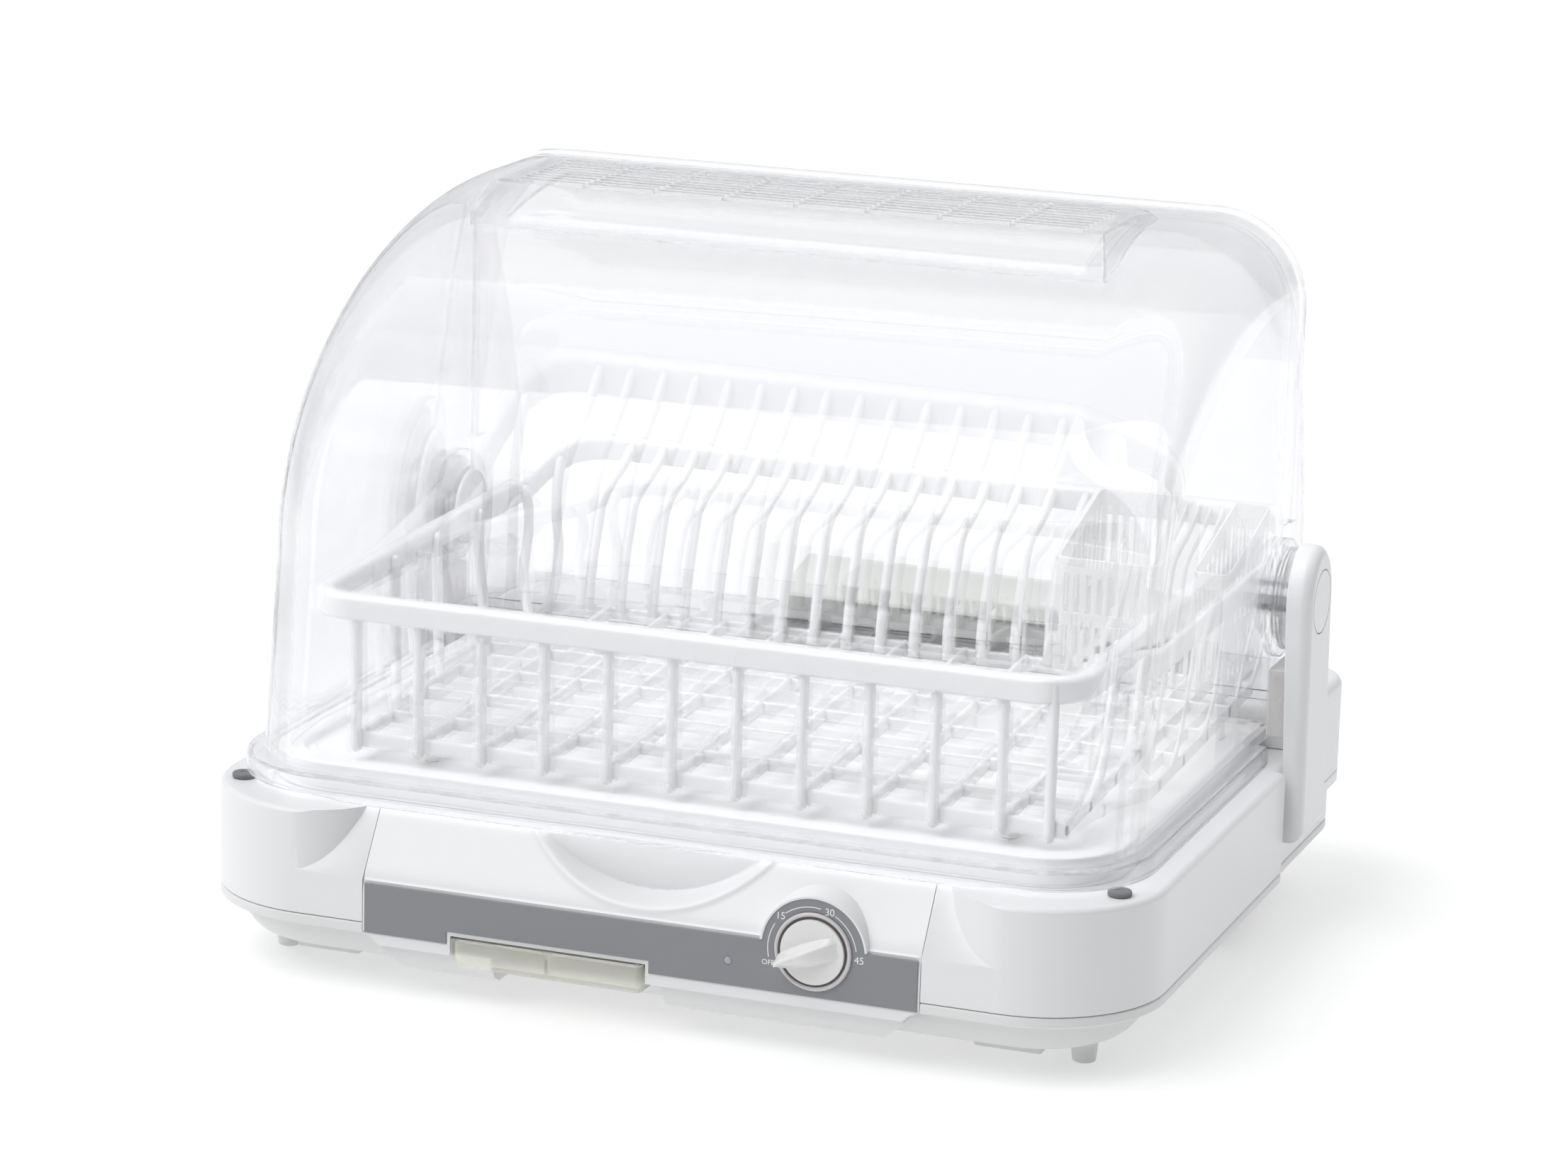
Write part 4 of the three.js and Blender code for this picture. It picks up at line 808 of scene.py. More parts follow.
class Finishes:
    """All the finishes of the dryer."""

    HOUSING = Finish("housing_white", (0.80, 0.805, 0.815), (0.785, 0.79, 0.80), 0.34, coat=0.15,
                     grain_height=0.05)
    PAN = Finish("pan_white", (0.76, 0.765, 0.765), (0.745, 0.75, 0.75), 0.42, grain_height=0.08)
    KNOB = Finish("knob_white", (0.76, 0.765, 0.755), (0.75, 0.755, 0.745), 0.28, coat=0.2)
    KNOB_RING = Finish("knob_ring_lilac", (0.62, 0.595, 0.615), (0.61, 0.585, 0.605), 0.30, coat=0.2)
    # Painted shade: a near-black brown that stands in for the shadow inside the recess round the knob's disc, not a
    # part's own colour.
    PAINTED_GAP_SHADE = Finish("painted_gap_shade", (0.10, 0.088, 0.082), (0.085, 0.075, 0.07), 0.6)
    BASKET = Finish("basket_gloss_white", (0.86, 0.86, 0.86), (0.845, 0.845, 0.845), 0.22, coat=0.35,
                    grain_height=0.02, ripple_scale=60.0, ripple_height=0.10, scatter=0.12)
    BOARD = BoardFinish("board_matt_white", (0.87, 0.87, 0.87), (0.86, 0.86, 0.86), 0.40, grain_height=0.10)
    MILKY = Finish("cutlery_milky", (0.94, 0.94, 0.94), (0.925, 0.925, 0.925), 0.24, transmission=0.25,
                   grain_height=0.03, ripple_height=0.10, index=1.4, shadow=False)
    CLEAR = Finish("hood_clear", (0.955, 0.96, 0.985), (0.945, 0.95, 0.98), 0.02, 0.008, transmission=1.0,
                   grain_height=0.0, ripple_scale=16.0, ripple_height=0.05, index=1.24, alpha=0.42,
                   shadow=False, edge_alpha=0.95)
    CLEAR_REAR = Finish("rear_hood_clear", (0.945, 0.95, 0.98), (0.935, 0.94, 0.975), 0.03, 0.01,
                        transmission=1.0, grain_height=0.0, ripple_scale=16.0, ripple_height=0.05, index=1.22,
                        alpha=0.35, shadow=False, edge_alpha=0.9)
    CLEAR_VENT = Finish("vent_clear", (0.985, 0.988, 0.995), (0.98, 0.983, 0.99), 0.03, 0.01,
                        transmission=1.0, grain_height=0.0, index=1.22, alpha=0.36, shadow=False,
                        edge_alpha=0.7)
    CLEAR_HUB = Finish("hub_clear", (0.985, 0.987, 0.99), (0.98, 0.983, 0.988), 0.05, 0.02, transmission=1.0,
                       grain_height=0.02, ripple_height=0.08, index=1.38, alpha=0.65, shadow=False)
    YELLOW = Finish("drawer_clear_yellow", (0.955, 0.955, 0.885), (0.95, 0.95, 0.875), 0.10, 0.03,
                    transmission=0.6, grain_height=0.02, ripple_height=0.10, index=1.40, alpha=0.7,
                    shadow=False)
    BAND = Finish("band_grey", (0.252, 0.256, 0.270), (0.244, 0.248, 0.262), 0.45, grain_height=0.12)
    MARKS = Finish("dial_marks_white", (0.85, 0.86, 0.87), (0.84, 0.85, 0.86), 0.5)
    LAMP = Finish("lamp_lilac_grey", (0.50, 0.48, 0.55), (0.47, 0.45, 0.53), 0.2, transmission=0.2, coat=0.3)
    OUTLET = Finish("outlet_grey_green", (0.74, 0.755, 0.715), (0.72, 0.735, 0.695), 0.45, grain_height=0.12)
    RUBBER = Finish("rubber_grey", (0.22, 0.23, 0.24), (0.19, 0.20, 0.21), 0.75, grain_height=0.3)
    DARK = Finish("inner_black", (0.03, 0.031, 0.034), (0.022, 0.023, 0.026), 0.55, grain_height=0.15)
    TINTED = Finish("bracket_tinted", (0.80, 0.785, 0.775), (0.78, 0.765, 0.755), 0.25, transmission=0.35,
                    index=1.40, alpha=0.85, shadow=False)
    STEEL = BrushedFinish("steel_drawn", (0.62, 0.63, 0.64), (0.56, 0.57, 0.58), 0.28, metal=1.0)
    FILTER = Finish("filter_foam_grey", (0.16, 0.165, 0.17), (0.10, 0.105, 0.11), 0.9, grain_scale=1400.0,
                    grain_height=0.9)
    INNER = Finish("inner_white", (0.80, 0.80, 0.79), (0.76, 0.76, 0.755), 0.5, grain_height=0.1)
    FLOOR = Finish("floor_pale", (0.60, 0.60, 0.60), (0.595, 0.595, 0.595), 0.7, grain_height=0.0)


@dataclass
class Base:
    """The base: its pan, housing, sloping front, rear cover, feet and board."""

    half_width: float = 232.0
    front: float = -194.5
    back: float = 194.5
    corner: float = 60.0
    wall: float = 2.5
    step_y: float = 66.5
    narrow_half: float = 228.4
    rear_back: float = 185.5
    rear_corner: float = 25.0
    pan_bottom: float = 11.0
    seam: float = 34.0
    ledge: float = 84.0
    ledge_round: float = 3.2
    knee: float = 54.6
    slope_depth: float = 19.0
    drum_start: float = 175.0
    drum_radius: float = 36.4
    panel_half: float = 136.0
    panel_bottom: float = 24.0
    panel_steps: Flat = (1.0, 0.6)
    opening: float = 136.3
    knee_bend: float = 2.2
    scoop_height: float = 136.9
    scoop_radius: float = 77.0
    scoop_blend: float = 3.4
    scoop_lip: float = 0.8
    scoop_back: float = -175.9
    frame_lip: float = 0.45
    notch: Flat = (-91.8, 4.8)
    notch_top: float = 33.4
    cover_front: float = 104.0
    cover_step: float = 121.3
    cover_top: float = 107.0
    cover_round: float = 5.0
    cover_corner: float = 30.0

    def plan(self, steps: int = 14) -> list[Flat]:
        """The base's plan, wide before the pillars and narrower behind them.

        Args:
            steps: How many facets a front corner has.

        Returns:
            The outline, anticlockwise.
        """
        half, narrow = self.half_width, self.narrow_half
        right = Shape.arc((half - self.corner, self.front + self.corner), (self.corner,) * 2, 270, 360, steps)
        step = [(half, self.step_y - 3), (half - 1.2, self.step_y), (narrow, self.step_y + 0.2)]
        rear = Shape.arc((narrow - self.rear_corner, self.rear_back - self.rear_corner),
                         (self.rear_corner,) * 2, 0, 90, steps // 2)
        outline = right + step + rear
        return outline + [(-x, y) for x, y in reversed(outline)]

    def niche(self, inset: float) -> tuple[Form, Form]:
        """The room before the slope, as a tower and the wedge that bounds it.

        Args:
            inset: How far the room is set back.

        Returns:
            The tower between the drums and the wedge before the slope.
        """
        radius = self.drum_radius - inset
        sweep = math.degrees(math.acos((self.drum_radius - self.slope_depth - inset) / radius))
        centre = self.front + self.drum_radius
        right = Shape.arc((self.drum_start, centre), (radius, radius), 270 - sweep, 270, 20)
        near = self.front - 30
        tower = [(-self.drum_start, near), (self.drum_start, near), *reversed(right)]
        tower += [(-x, y) for x, y in right]
        reach = self.slope_depth / (self.ledge - self.knee)
        knee = self.knee - inset * 0.27
        top = self.ledge + 20
        wedge = [(near - 20, knee), (self.front + inset, knee),
                 (self.front + inset + reach * (top - knee), top), (near - 20, top)]
        width = self.half_width
        return Shape.slab(tower, knee - 8, top + 8), Shape.slab(wedge, -width, width, Axis.X)

    def build_pan(self) -> None:
        """The tray under the seam, tucked in below a strip."""
        radius, low, inset = 16, self.pan_bottom, 11
        tuck = [(inset + radius * (1 - math.cos(t)), low + radius * (1 - math.sin(t)))
                for t in (1.571, 1.3, 1.0, 0.75, 0.5, 0.25, 0)]
        outer = [*tuck, (inset, 28.4), (0.9, 28.7), (0.2, 29.2), (0, 30), (0, 33), (0.5, 33.6), (1, 33.7)]
        inner = [(2.5, 33.7), (2.5, 31.4), (13.5, 30.8), (13.5, 27), (16, 19), (22, 14.5), (30, 13.5)]
        form = Shape.stack(self.plan(), outer + inner)
        cuts = [
            (Operation.CUT, Shape.block((-self.opening, self.opening), (-215, -191.7), (23.7, 54))),
            (Operation.CUT, Shape.block(self.notch, (-215, -168), (19.7, 54))),
        ]
        rails = [
            (Operation.JOIN, Shape.block((left, left + 3), (-169.5, -94), (12.5, top)))
            for left, top in ((-88, 19.7), (-2, 19.7), (-94.8, 31.8), (4.8, 31.8))
        ]
        side = [(-192, 24.6), (-191.2, 19), (-188, 14), (-183, 11.3), (-160, 11.2), (-160, 24.6)]
        lower = [
            (Operation.JOIN, self.trimmed("lower_left", Shape.slab(side, -128, -72, Axis.X), 1)),
            (Operation.JOIN, self.trimmed("lower_right", Shape.slab(side, 12, 128, Axis.X), -1)),
        ]
        blocks = [
            (Operation.JOIN, Shape.block(ends, (-164, -122), (6.8, 13.6), 1.0))
            for ends in ((-184, -152), (152, 184))
        ]
        obj = Workshop.combine("base_pan", form, cuts + rails + lower + blocks)
        Workshop.soften(obj, 0.5)
        Workshop.finish(obj, Finishes.PAN, "base", "white", ["lower_pan"], 35)

    @staticmethod
    def trimmed(name: str, form: Form, side: int) -> Form:
        """A form under the pan with its outer end cut off at a slant.

        Args:
            name: The working object's name.
            form: The form.
            side: 1 for the left end, -1 for its mirror on the right.

        Returns:
            The trimmed form.
        """
        slant = Shape.slab([(-150, 5), (-110, 5), (-132, 26), (-150, 26)], -230, -100, Axis.Y)
        return Workshop.unmake(Workshop.combine(name, form, [(Operation.CUT, slant.sided(side))]))

    def build_housing(self) -> None:
        """The white body with its two drums and the ledge under the hood."""
        r, top, plan = self.ledge_round, self.ledge, self.plan()
        levels = [(0.5, self.seam), (0, self.seam + 0.5), (0, top - r), *Shape.crown(top, r)]
        tower, wedge = self.niche(0)
        niche = Workshop.combine("niche", tower, [(Operation.KEEP, wedge)])
        inner_tower, inner_wedge = self.niche(self.wall)
        inner = Workshop.combine("inner_niche", inner_tower, [(Operation.KEEP, inner_wedge)])
        room = Workshop.combine("room", Shape.stack(plan, [(self.wall, 10), (self.wall, top - self.wall)]), [])
        Workshop.modify(room, inner, Operation.CUT)
        obj = Workshop.combine("base_housing", Shape.stack(plan, levels), [])
        Workshop.modify(obj, niche, Operation.CUT)
        Workshop.modify(obj, room, Operation.CUT)
        steps = [
            (Operation.CUT, Shape.block((-self.opening, self.opening), (-216, -175.2), (10, 110))),
            (Operation.CUT, Shape.block((-59, 174), (109, 180.5), (79, 110))),
            (Operation.CUT, Shape.lathe([(10, 30), (10, 100)], (*DRAIN, 0), Axis.Z, 24)),
        ]
        for i, (operation, form) in enumerate(steps):
            Workshop.modify(obj, Workshop.raw(form, f"housing_tool_{i}"), operation)
        Workshop.soften(obj, 0.9, 2, 34)
        Workshop.finish(obj, Finishes.HOUSING, "base", "white", ["upper_housing"], 36)

    def panel_depth(self, x: float, z: float) -> float:
        """How far forward the sloping panel stands at a place.

        Args:
            x: The place across.
            z: Its height.

        Returns:
            The surface's y.
        """
        reach, over = self.slope_depth / (self.ledge - self.knee), z - self.knee
        bend = self.knee_bend
        slope = self.front + reach * (bend * math.log1p(math.exp(over / bend)) if over < 20 else over)
        distance = math.hypot(x, z - self.scoop_height)
        share = min(max((self.scoop_radius - distance) / self.scoop_blend, 0.0), 1.0)
        smooth = share * share * (3 - 2 * share)
        lip = self.scoop_lip * math.exp(-((distance - self.scoop_radius - 1.4) / 1.5) ** 2)
        recess = max(self.scoop_back - slope, 0.0)
        border = 0.0
        if abs(x) < self.panel_half and 27.6 < z < 55.4:
            edge = min(z - 28.4, self.knee - z, self.panel_half + 0.2 - abs(x))
            border = self.frame_lip * min(max(1.0 - abs(edge) / 0.7, 0.0), 1.0)
        return slope + recess * smooth - (lip if z > self.knee else 0) * (1 - smooth) - border

    def build_panel(self) -> None:
        """The sloping front with its finger scoop and the drawer's notch."""
        across, up = self.panel_steps
        xs = [-self.panel_half + across * i for i in range(int(2 * self.panel_half / across) + 1)]
        xs = sorted({*(x for x in xs if min(abs(x - e) for e in self.notch) > 0.45), *self.notch})
        zs = [self.panel_bottom + up * i for i in range(int((self.ledge - self.panel_bottom) / up) + 1)]
        zs = sorted({*(z for z in zs if abs(z - self.notch_top) > 0.3), self.notch_top, self.ledge})
        form = Form()
        index: dict[tuple[int, int], int] = {}
        for i, x in enumerate(xs):
            for j, z in enumerate(zs):
                index[i, j] = len(form.points)
                form.points.append(Vector((x, self.panel_depth(x, z), z)))
        for i in range(len(xs) - 1):
            for j in range(len(zs) - 1):
                x, z = (xs[i] + xs[i + 1]) / 2, (zs[j] + zs[j + 1]) / 2
                if self.notch[0] < x < self.notch[1] and z < self.notch_top:
                    continue
                if z < self.seam and abs(x) > self.panel_half - 1 - 1.4 * (29.4 - z):
                    continue
                form.faces.append((index[i, j], index[i + 1, j], index[i + 1, j + 1], index[i, j + 1]))
        obj = Workshop.sheet(form, "base_panel")
        solid = obj.modifiers.new("thickness", "SOLIDIFY")
        solid.thickness = 2.0 * Layout.MILLIMETRE
        solid.offset = -1
        Workshop.apply(obj)
        Workshop.soften(obj, 0.4, 2, 50)
        Workshop.finish(obj, Finishes.HOUSING, "base", "white", ["front_panel"], 44)

    def build_boss(self) -> None:
        """The round wall behind the dial, cut off level with the band."""
        profile = [(27.2, -176), (26.3, -186), (26.0, -193.6), (25.9, -194.9), (25.5, -195.6), (25.0, -195.7),
                   (24.5, -195.5), (24.4, -194.9), (24.4, -194.3), (0, -194.3), (0, -176)]
        boss = Workshop.combine("dial_boss", Shape.lathe(profile, (DIAL[0], 0, DIAL[1]), Axis.Y, 128), [
            (Operation.CUT, Shape.block((40, 130), (-200, -170), (10, 53.5))),
        ])
        Workshop.finish(boss, Finishes.HOUSING, "base", "white", [], 36)

    def build_board(self) -> None:
        """The shallow tray under the basket, with its drain."""
        outline = Shape.rectangle((-209, 209), (-163, 103.2), (38, 38, 6.3, 6.3), 12)
        levels = [(10.8, 92.5), (3, 93.2), (2.4, 92.4), (2.2, 84.4), (0.2, 84.3), (0, 84.6), (0, 96.4),
                  (0.5, 97.5), (1.6, 98), (11.2, 98), (12.2, 97.7), (12.8, 97), (13.1, 95.6), (13.8, 94.9),
                  (15, 94.7)]
        middle = (*DRAIN, 0)
        steps = [
            (Operation.JOIN, Shape.lathe([(7.2, 33.4), (7.2, 94)], middle, Axis.Z, 32)),
            (Operation.CUT, Shape.lathe([(5, 20), (5, 93), (8, 95.5), (8, 110)], middle, Axis.Z, 32)),
        ]
        obj = Workshop.combine("drain_tray", Shape.stack(outline, levels), steps)
        Workshop.finish(obj, Finishes.BOARD, "base", "inner_white", ["drain_board"], 40)

    def build_cover(self) -> None:
        """The raised box behind the pillars, with its air slots."""
        wide = Shape.rectangle((-self.half_width, self.half_width), (self.cover_step, self.back),
                               (3, 3, self.cover_corner, self.cover_corner), 10)
        narrow = Shape.rectangle((-228.7, 228.7), (self.cover_front, 164.5), (4, 4, 4, 4), 4)
        top, r = self.cover_top, self.cover_round
        crown = Shape.crown(top, r)
        levels = [(0.4, 53), (0, 53.4), (0, 58.4), (0.5, 58.7), (0.5, 59.2), (0, 59.5), (0, top - r), *crown]
        neck = [(0, 84.3), (0, top - r), *((inset, height - 0.03) for inset, height in crown)]
        inside = Shape.rectangle((-229.5, 229.5), (123.8, 192), (2, 2, 27.5, 27.5), 8)
        between = Shape.rectangle((-226.2, 226.2), (106.5, 164), 3, 3)
        body = Shape.rectangle((-228.7, 228.7), (-100, 185.8), (6, 6, 25, 25), 8)
        slots = Form().add(*[
            Shape.slab(Shape.rectangle((x - 2.5, x + 2.5), (62, 96), 2.4, 4), 186, 220, Axis.Y)
            for x in (-70 + 140 / 12 * (i + 0.5) for i in range(12))
        ])
        obj = Workshop.combine("rear_box", Shape.stack(wide, levels), [
            (Operation.JOIN, Shape.stack(narrow, neck)),
            (Operation.CUT, Shape.slab(inside, 40, 104.5)),
            (Operation.CUT, Shape.slab(between, 86.8, 104.5)),
            (Operation.CUT, Shape.slab(body, 40, 84.3)),
            (Operation.CUT, Shape.block((-51.5, 127.5), (140, 168), (90, 120))),
            (Operation.CUT, slots),
            (Operation.CUT, Shape.lathe([(5.3, 180), (5.3, 210)], (-180, 0, 70), Axis.Y, 24)),
        ])
        Workshop.finish(obj, Finishes.HOUSING, "base", "white", ["rear_cover"], 36)

    def build_feet(self) -> None:
        """Four slim feet with rounded tips and a collar."""
        profile = [(0, 0), (4.6, 0), (5.3, 0.4), (5.5, 1.2), (5.9, 5), (6.2, 8.6), (6.5, 9), (6.5, 10.7),
                   (0, 10.7)]
        for name, side in (("left", -1), ("right", 1)):
            for end, y in (("front", -143.5), ("rear", 134.5)):
                Workshop.make(f"foot_{end}_{name}_fine", Shape.lathe(profile, (side * 198, y, 0), Axis.Z, 32),
                              Finishes.PAN, "base", "white", [f"foot_{end}_{name}"], 32)

    def build(self) -> None:
        """Builds and dresses the base."""
        self.build_pan()
        self.build_housing()
        self.build_panel()
        self.build_boss()
        self.build_board()
        self.build_cover()
        self.build_feet()


@dataclass
class Controls:
    """The grey band, the dial's marks, the knob and the lamp."""

    lamp: Flat = (45.0, 41.2)
    face_radius: float = 24.5
    band_half: float = 135.0
    band: Flat = (29.5, 53.4)
    notch: Flat = (-93.5, 6.5)
    notch_top: float = 35.4
    front: float = -195.2
    pointer: float = 200.0

    def build_band(self) -> None:
        """The band with the dial's face and the drawer's notch."""
        low, high = self.band
        x, z, r = *DIAL, self.face_radius
        above = math.degrees(math.asin((high - z) / r))
        outline = [(-self.band_half, low), (self.notch[0], low), (self.notch[0], self.notch_top),
                   (self.notch[1], self.notch_top), (self.notch[1], low)]
        outline += [(self.band_half, low), (self.band_half, high)]
        outline += Shape.arc((x, z), (r, r), above, 180 - above, 40)
        outline += [(-self.band_half, high)]
        levels = [(0.25, self.front), (0.05, self.front + 0.15), (0, self.front + 0.35), (0, -194.45)]
        obj = Workshop.combine("grey_band", Shape.stack(outline, levels, Axis.Y), [
            (Operation.CUT, Shape.lathe([(2, -200), (2, -190)], (self.lamp[0], 0, self.lamp[1]), Axis.Y, 32)),
        ])
        Workshop.finish(obj, Finishes.BAND, "base", "grey", ["control_band"], 30)

    def ring_part(self, radius: float, width: float, start: float, end: float) -> Form:
        """A thin raised stroke on the dial.

        Args:
            radius: The stroke's radius round the dial's middle.
            width: The stroke's width.
            start: Its first angle in degrees, anticlockwise from the right.
            end: Its last angle.

        Returns:
            The stroke.
        """
        centre = (DIAL[0] - 0.6, DIAL[1] - 0.5)
        outer = Shape.arc(centre, (radius + width / 2,) * 2, start, end, 24)
        inner = Shape.arc(centre, (radius - width / 2,) * 2, end, start, 24)
        return Shape.slab(outer + inner, self.front - 0.07, self.front + 0.2, Axis.Y)

    def word(self, text: str, place: Flat, height: float) -> Form:
        """Plain lettering as a thin raised form.

        Args:
            text: The characters.
            place: The middle of the word on the dial.
            height: The letters' height in millimetres.

        Returns:
            The form in the body's frame.
        """
        curve = bpy.data.curves.new("word", "FONT")
        curve.body = text
        curve.size = height / 0.72
        curve.align_x, curve.align_y = "CENTER", "CENTER"
        curve.extrude = 0.05
        curve.resolution_u = 6
        obj = Workshop.place("word", curve)
        graph = bpy.context.evaluated_depsgraph_get()
        graph.update()
        mesh = bpy.data.meshes.new_from_object(obj.evaluated_get(graph))
        points = [Vector((place[0] + v.co.x, self.front - 0.04 - v.co.z, place[1] + v.co.y))
                  for v in mesh.vertices]
        form = Form(points, [tuple(p.vertices) for p in mesh.polygons])
        bpy.data.objects.remove(obj)
        bpy.data.meshes.remove(mesh)
        return form

    def build_marks(self) -> None:
        """The dial's numerals, its off mark and the arcs between them."""
        marks = Form()
        for text, place in (("15", (69.7, 65.6)), ("30", (92.9, 70.1)), ("45", (107.4, 49.6))):
            marks.add(self.word(text, place, 3.4))
        marks.add(self.word("OFF", (64.2, 43.0), 2.5))
        for start, end in ((80, 128), (9, 60), (148, 193)):
            marks.add(self.ring_part(21.1, 0.4, start, end))
        Workshop.finish(Workshop.sheet(marks, "dial_marks"), Finishes.MARKS, "base", "white")

    @staticmethod
    def blade(share: float) -> tuple[float, float, float, float]:
        """The grip's section at a share of its length from the tip.

        Args:
            share: 0 at the blunt tip and 1 at the tail, which runs out into the disc.

        Returns:
            Its reach above and below its middle line, its crest's offset and its height.
        """
        swell = math.sin(math.pi / 2 * min(share / 0.62, 1.0))
        nose = 0.72 + 0.28 * math.sqrt(1 - (1 - min(share / 0.07, 1.0)) ** 2)
        above = (3.0 + 2.3 * swell) * nose
        below = (3.6 + 2.6 * swell) * nose
        fall = max(share - 0.45, 0.0) / 0.55
        height = (10.0 - 8.6 * fall ** 1.4) * (0.86 + 0.14 * nose)
        return above, below, 1.7 * swell * nose, height

    def build_knob(self) -> None:
        """The knob: a low ring, a dark ring of painted shade in the recess, a flat disc and a leaf-shaped grip."""
        back = self.front - 0.3
        x, z = DIAL
        ring = [(15.6, back), (18.3, back), (18.3, back - 0.4), (18.1, back - 0.85), (17.6, back - 1.15),
                (17.1, back - 1.1), (16.6, back - 0.75), (16.2, back - 0.3), (15.9, back - 0.1),
                (15.6, back - 0.1)]
        disc = [(0, back), (15.2, back), (15.2, back - 1.3), (15.0, back - 1.65), (14.5, back - 1.8),
                (0, back - 1.8)]
        knob = Form().add(Shape.lathe(disc, (0, 0, 0), Axis.Y, 96))
        rings = []
        for i in range(41):
            share = i / 40
            above, below, crest, height = self.blade(share)
            u, foot = -16.5 + 30.0 * share, back - 1.0
            front = back - height
            rise = height - 1
            section = [(-below, foot), (-below * 0.93, foot - rise * 0.22), (-below * 0.62, foot - rise * 0.62),
                       (-below * 0.28 + crest * 0.4, front + 0.9), (crest - 1.0, front + 0.12),
                       (crest - 0.3, front), (crest + 0.3, front + 0.1), (crest + 0.9, front + 0.7),
                       (crest + (above - crest) * 0.6, foot - rise * 0.5), (above * 0.97, foot - rise * 0.15),
                       (above, foot)]
            rings.append([Vector((u, y, v)) for v, y in section])
        knob.add(Shape.loft(rings))
        spin = Matrix.Translation((x, 0, z)) @ Matrix.Rotation(math.radians(180 - self.pointer), 4, "Y")
        Workshop.make("knob_with_grip", knob.turned(spin), Finishes.KNOB, "knob", "white", ["timer_knob"], 38)
        hoop = Shape.hoop(ring, (0, 0, 0), Axis.Y, 96).turned(spin)
        Workshop.make("knob_ring", hoop, Finishes.KNOB_RING, "knob", "white", [], 38)
        # Painted shade: a near-black ring laid in the recess between the ring and the disc, shifted up and left so that
        # it shows widest where the recess's shadow falls.
        floor = back - 0.35
        painted_shade = Shape.lathe([(14.9, floor), (16.5, floor - 0.5), (16.6, floor - 0.4), (15.9, floor + 0.2),
                           (14.9, floor + 0.3)], (x - 0.45, 0, z + 0.45), Axis.Y, 96)
        Workshop.make("knob_painted_shade", painted_shade, Finishes.PAINTED_GAP_SHADE, "knob", "black")

    def build_lamp(self) -> None:
        """The small domed lamp lens."""
        profile = [(0, -185.5), (1.9, -185.5), (1.9, -195.0), (1.75, -195.3), (1.3, -195.55), (0.6, -195.68),
                   (0, -195.7)]
        lens = Shape.lathe(profile, (self.lamp[0], 0, self.lamp[1]), Axis.Y, 32)
        Workshop.make("lamp_lens", lens, Finishes.LAMP, "base", "milky", ["pilot_lamp"], 40)

    def build(self) -> None:
        """Builds and dresses the controls."""
        self.build_band()
        self.build_marks()
        self.build_knob()
        self.build_lamp()


@dataclass
class Drawer:
    """The clear drain-water drawer."""

    left: float = -91.0
    right: float = 4.0
    front: float = -198.0
    length: float = 104.0
    low: float = 20.0
    high: float = 32.6
    wall: float = 1.6

    def build(self) -> None:
        """Builds and dresses the drawer."""
        back, w = self.front + self.length, self.wall
        left, right, front, low, high = self.left, self.right, self.front, self.low, self.high
        body = Shape.rectangle((left, right), (front, back), (3, 3, 1.5, 1.5), 5)
        room = Shape.rectangle((left + w, right - w), (front + 2 * w, back - w), 2, 4)
        lip = Shape.rectangle((left + 0.2, right - 0.2), (front, front + 9), (3, 3, 1, 1), 5)
        slant = [(left - 5, low - 5), (left + 5.5, low - 5), (left + 5.5, low), (left, low + 6), (left - 5, low + 6)]
        obj = Workshop.combine("drain_water_drawer", Shape.slab(body, low, high, Axis.Z, 1.0, 0.4), [
            (Operation.CUT, Shape.slab(room, low + w, high + 9, Axis.Z, 0.8)),
            (Operation.JOIN, Shape.block((-44.3, -42.7), (front + 1, front + 27), (20.8, 29.4), 0.3)),
            (Operation.JOIN, Shape.slab(lip, high - 1.4, high, Axis.Z, 0.5, 0.5)),
            (Operation.CUT, Shape.block((left + 4, -46), (front + 3.4, front + 8), (24, 40), 0.4)),
            (Operation.CUT, Shape.block((-41, right - 4), (front + 3.4, front + 8), (24, 40), 0.4)),
            (Operation.CUT, Shape.slab(slant, front - 5, front + 30, Axis.Y)),
            (Operation.CUT, Shape.block((left - 5, right + 5), (front - 5, front + 0.9), (low - 5, low + 3.2), 0.4)),
        ])
        Workshop.finish(obj, Finishes.YELLOW, "drawer", "clear_yellow", ["drain_drawer"], 34)


@dataclass
class Outlet:
    """The grey-green warm-air outlet with its vanes."""

    left: float = -54.0
    right: float = 130.0
    front: float = 134.5
    depth: float = 38.0
    low: float = 107.3
    lip: float = 126.5
    top: float = 139.0
    wall: float = 1.8
    vanes: int = 9

    def build(self) -> None:
        """Builds and dresses the outlet."""
        back, shoulder = self.front + self.depth, self.front + self.depth / 4
        middle = (self.lip + self.top) / 2
        front, low, lip, top, w = self.front, self.low, self.lip, self.top, self.wall
        outline = [(front, low), (back, low), (back, top - 3), (back - 1, top - 0.8), (back - 3, top),
                   (shoulder, middle + 1), (front + 1, lip + 0.6), (front, lip)]
        room = [(front - 20, low - 20), (back - w, low - 20), (back - w, top - w - 1), (shoulder, middle - 1.2),
                (front + 0.8, lip - w), (front - 20, lip - w)]
        blade = [(front + 0.9, low + 0.1), (front + 4.7, low + 0.1), (front + 4.7, 133.0), (front + 0.9, lip - 1)]
        pitch = (self.right - self.left) / (self.vanes + 1)
        blades = []
        for i in range(self.vanes):
            x = self.left + pitch * (i + 1)
            blades.append((Operation.JOIN, Shape.slab(blade, x - w / 2, x + w / 2, Axis.X)))
        obj = Workshop.combine("warm_air_outlet", Shape.slab(outline, self.left, self.right, Axis.X, 1.2, 1.2), [
            (Operation.CUT, Shape.slab(room, self.left + w, self.right - w, Axis.X)), *blades,
        ])
        Workshop.soften(obj, 0.3, 1, 40)
        Workshop.finish(obj, Finishes.OUTLET, "base", "outlet", ["outlet_grille"], 38)


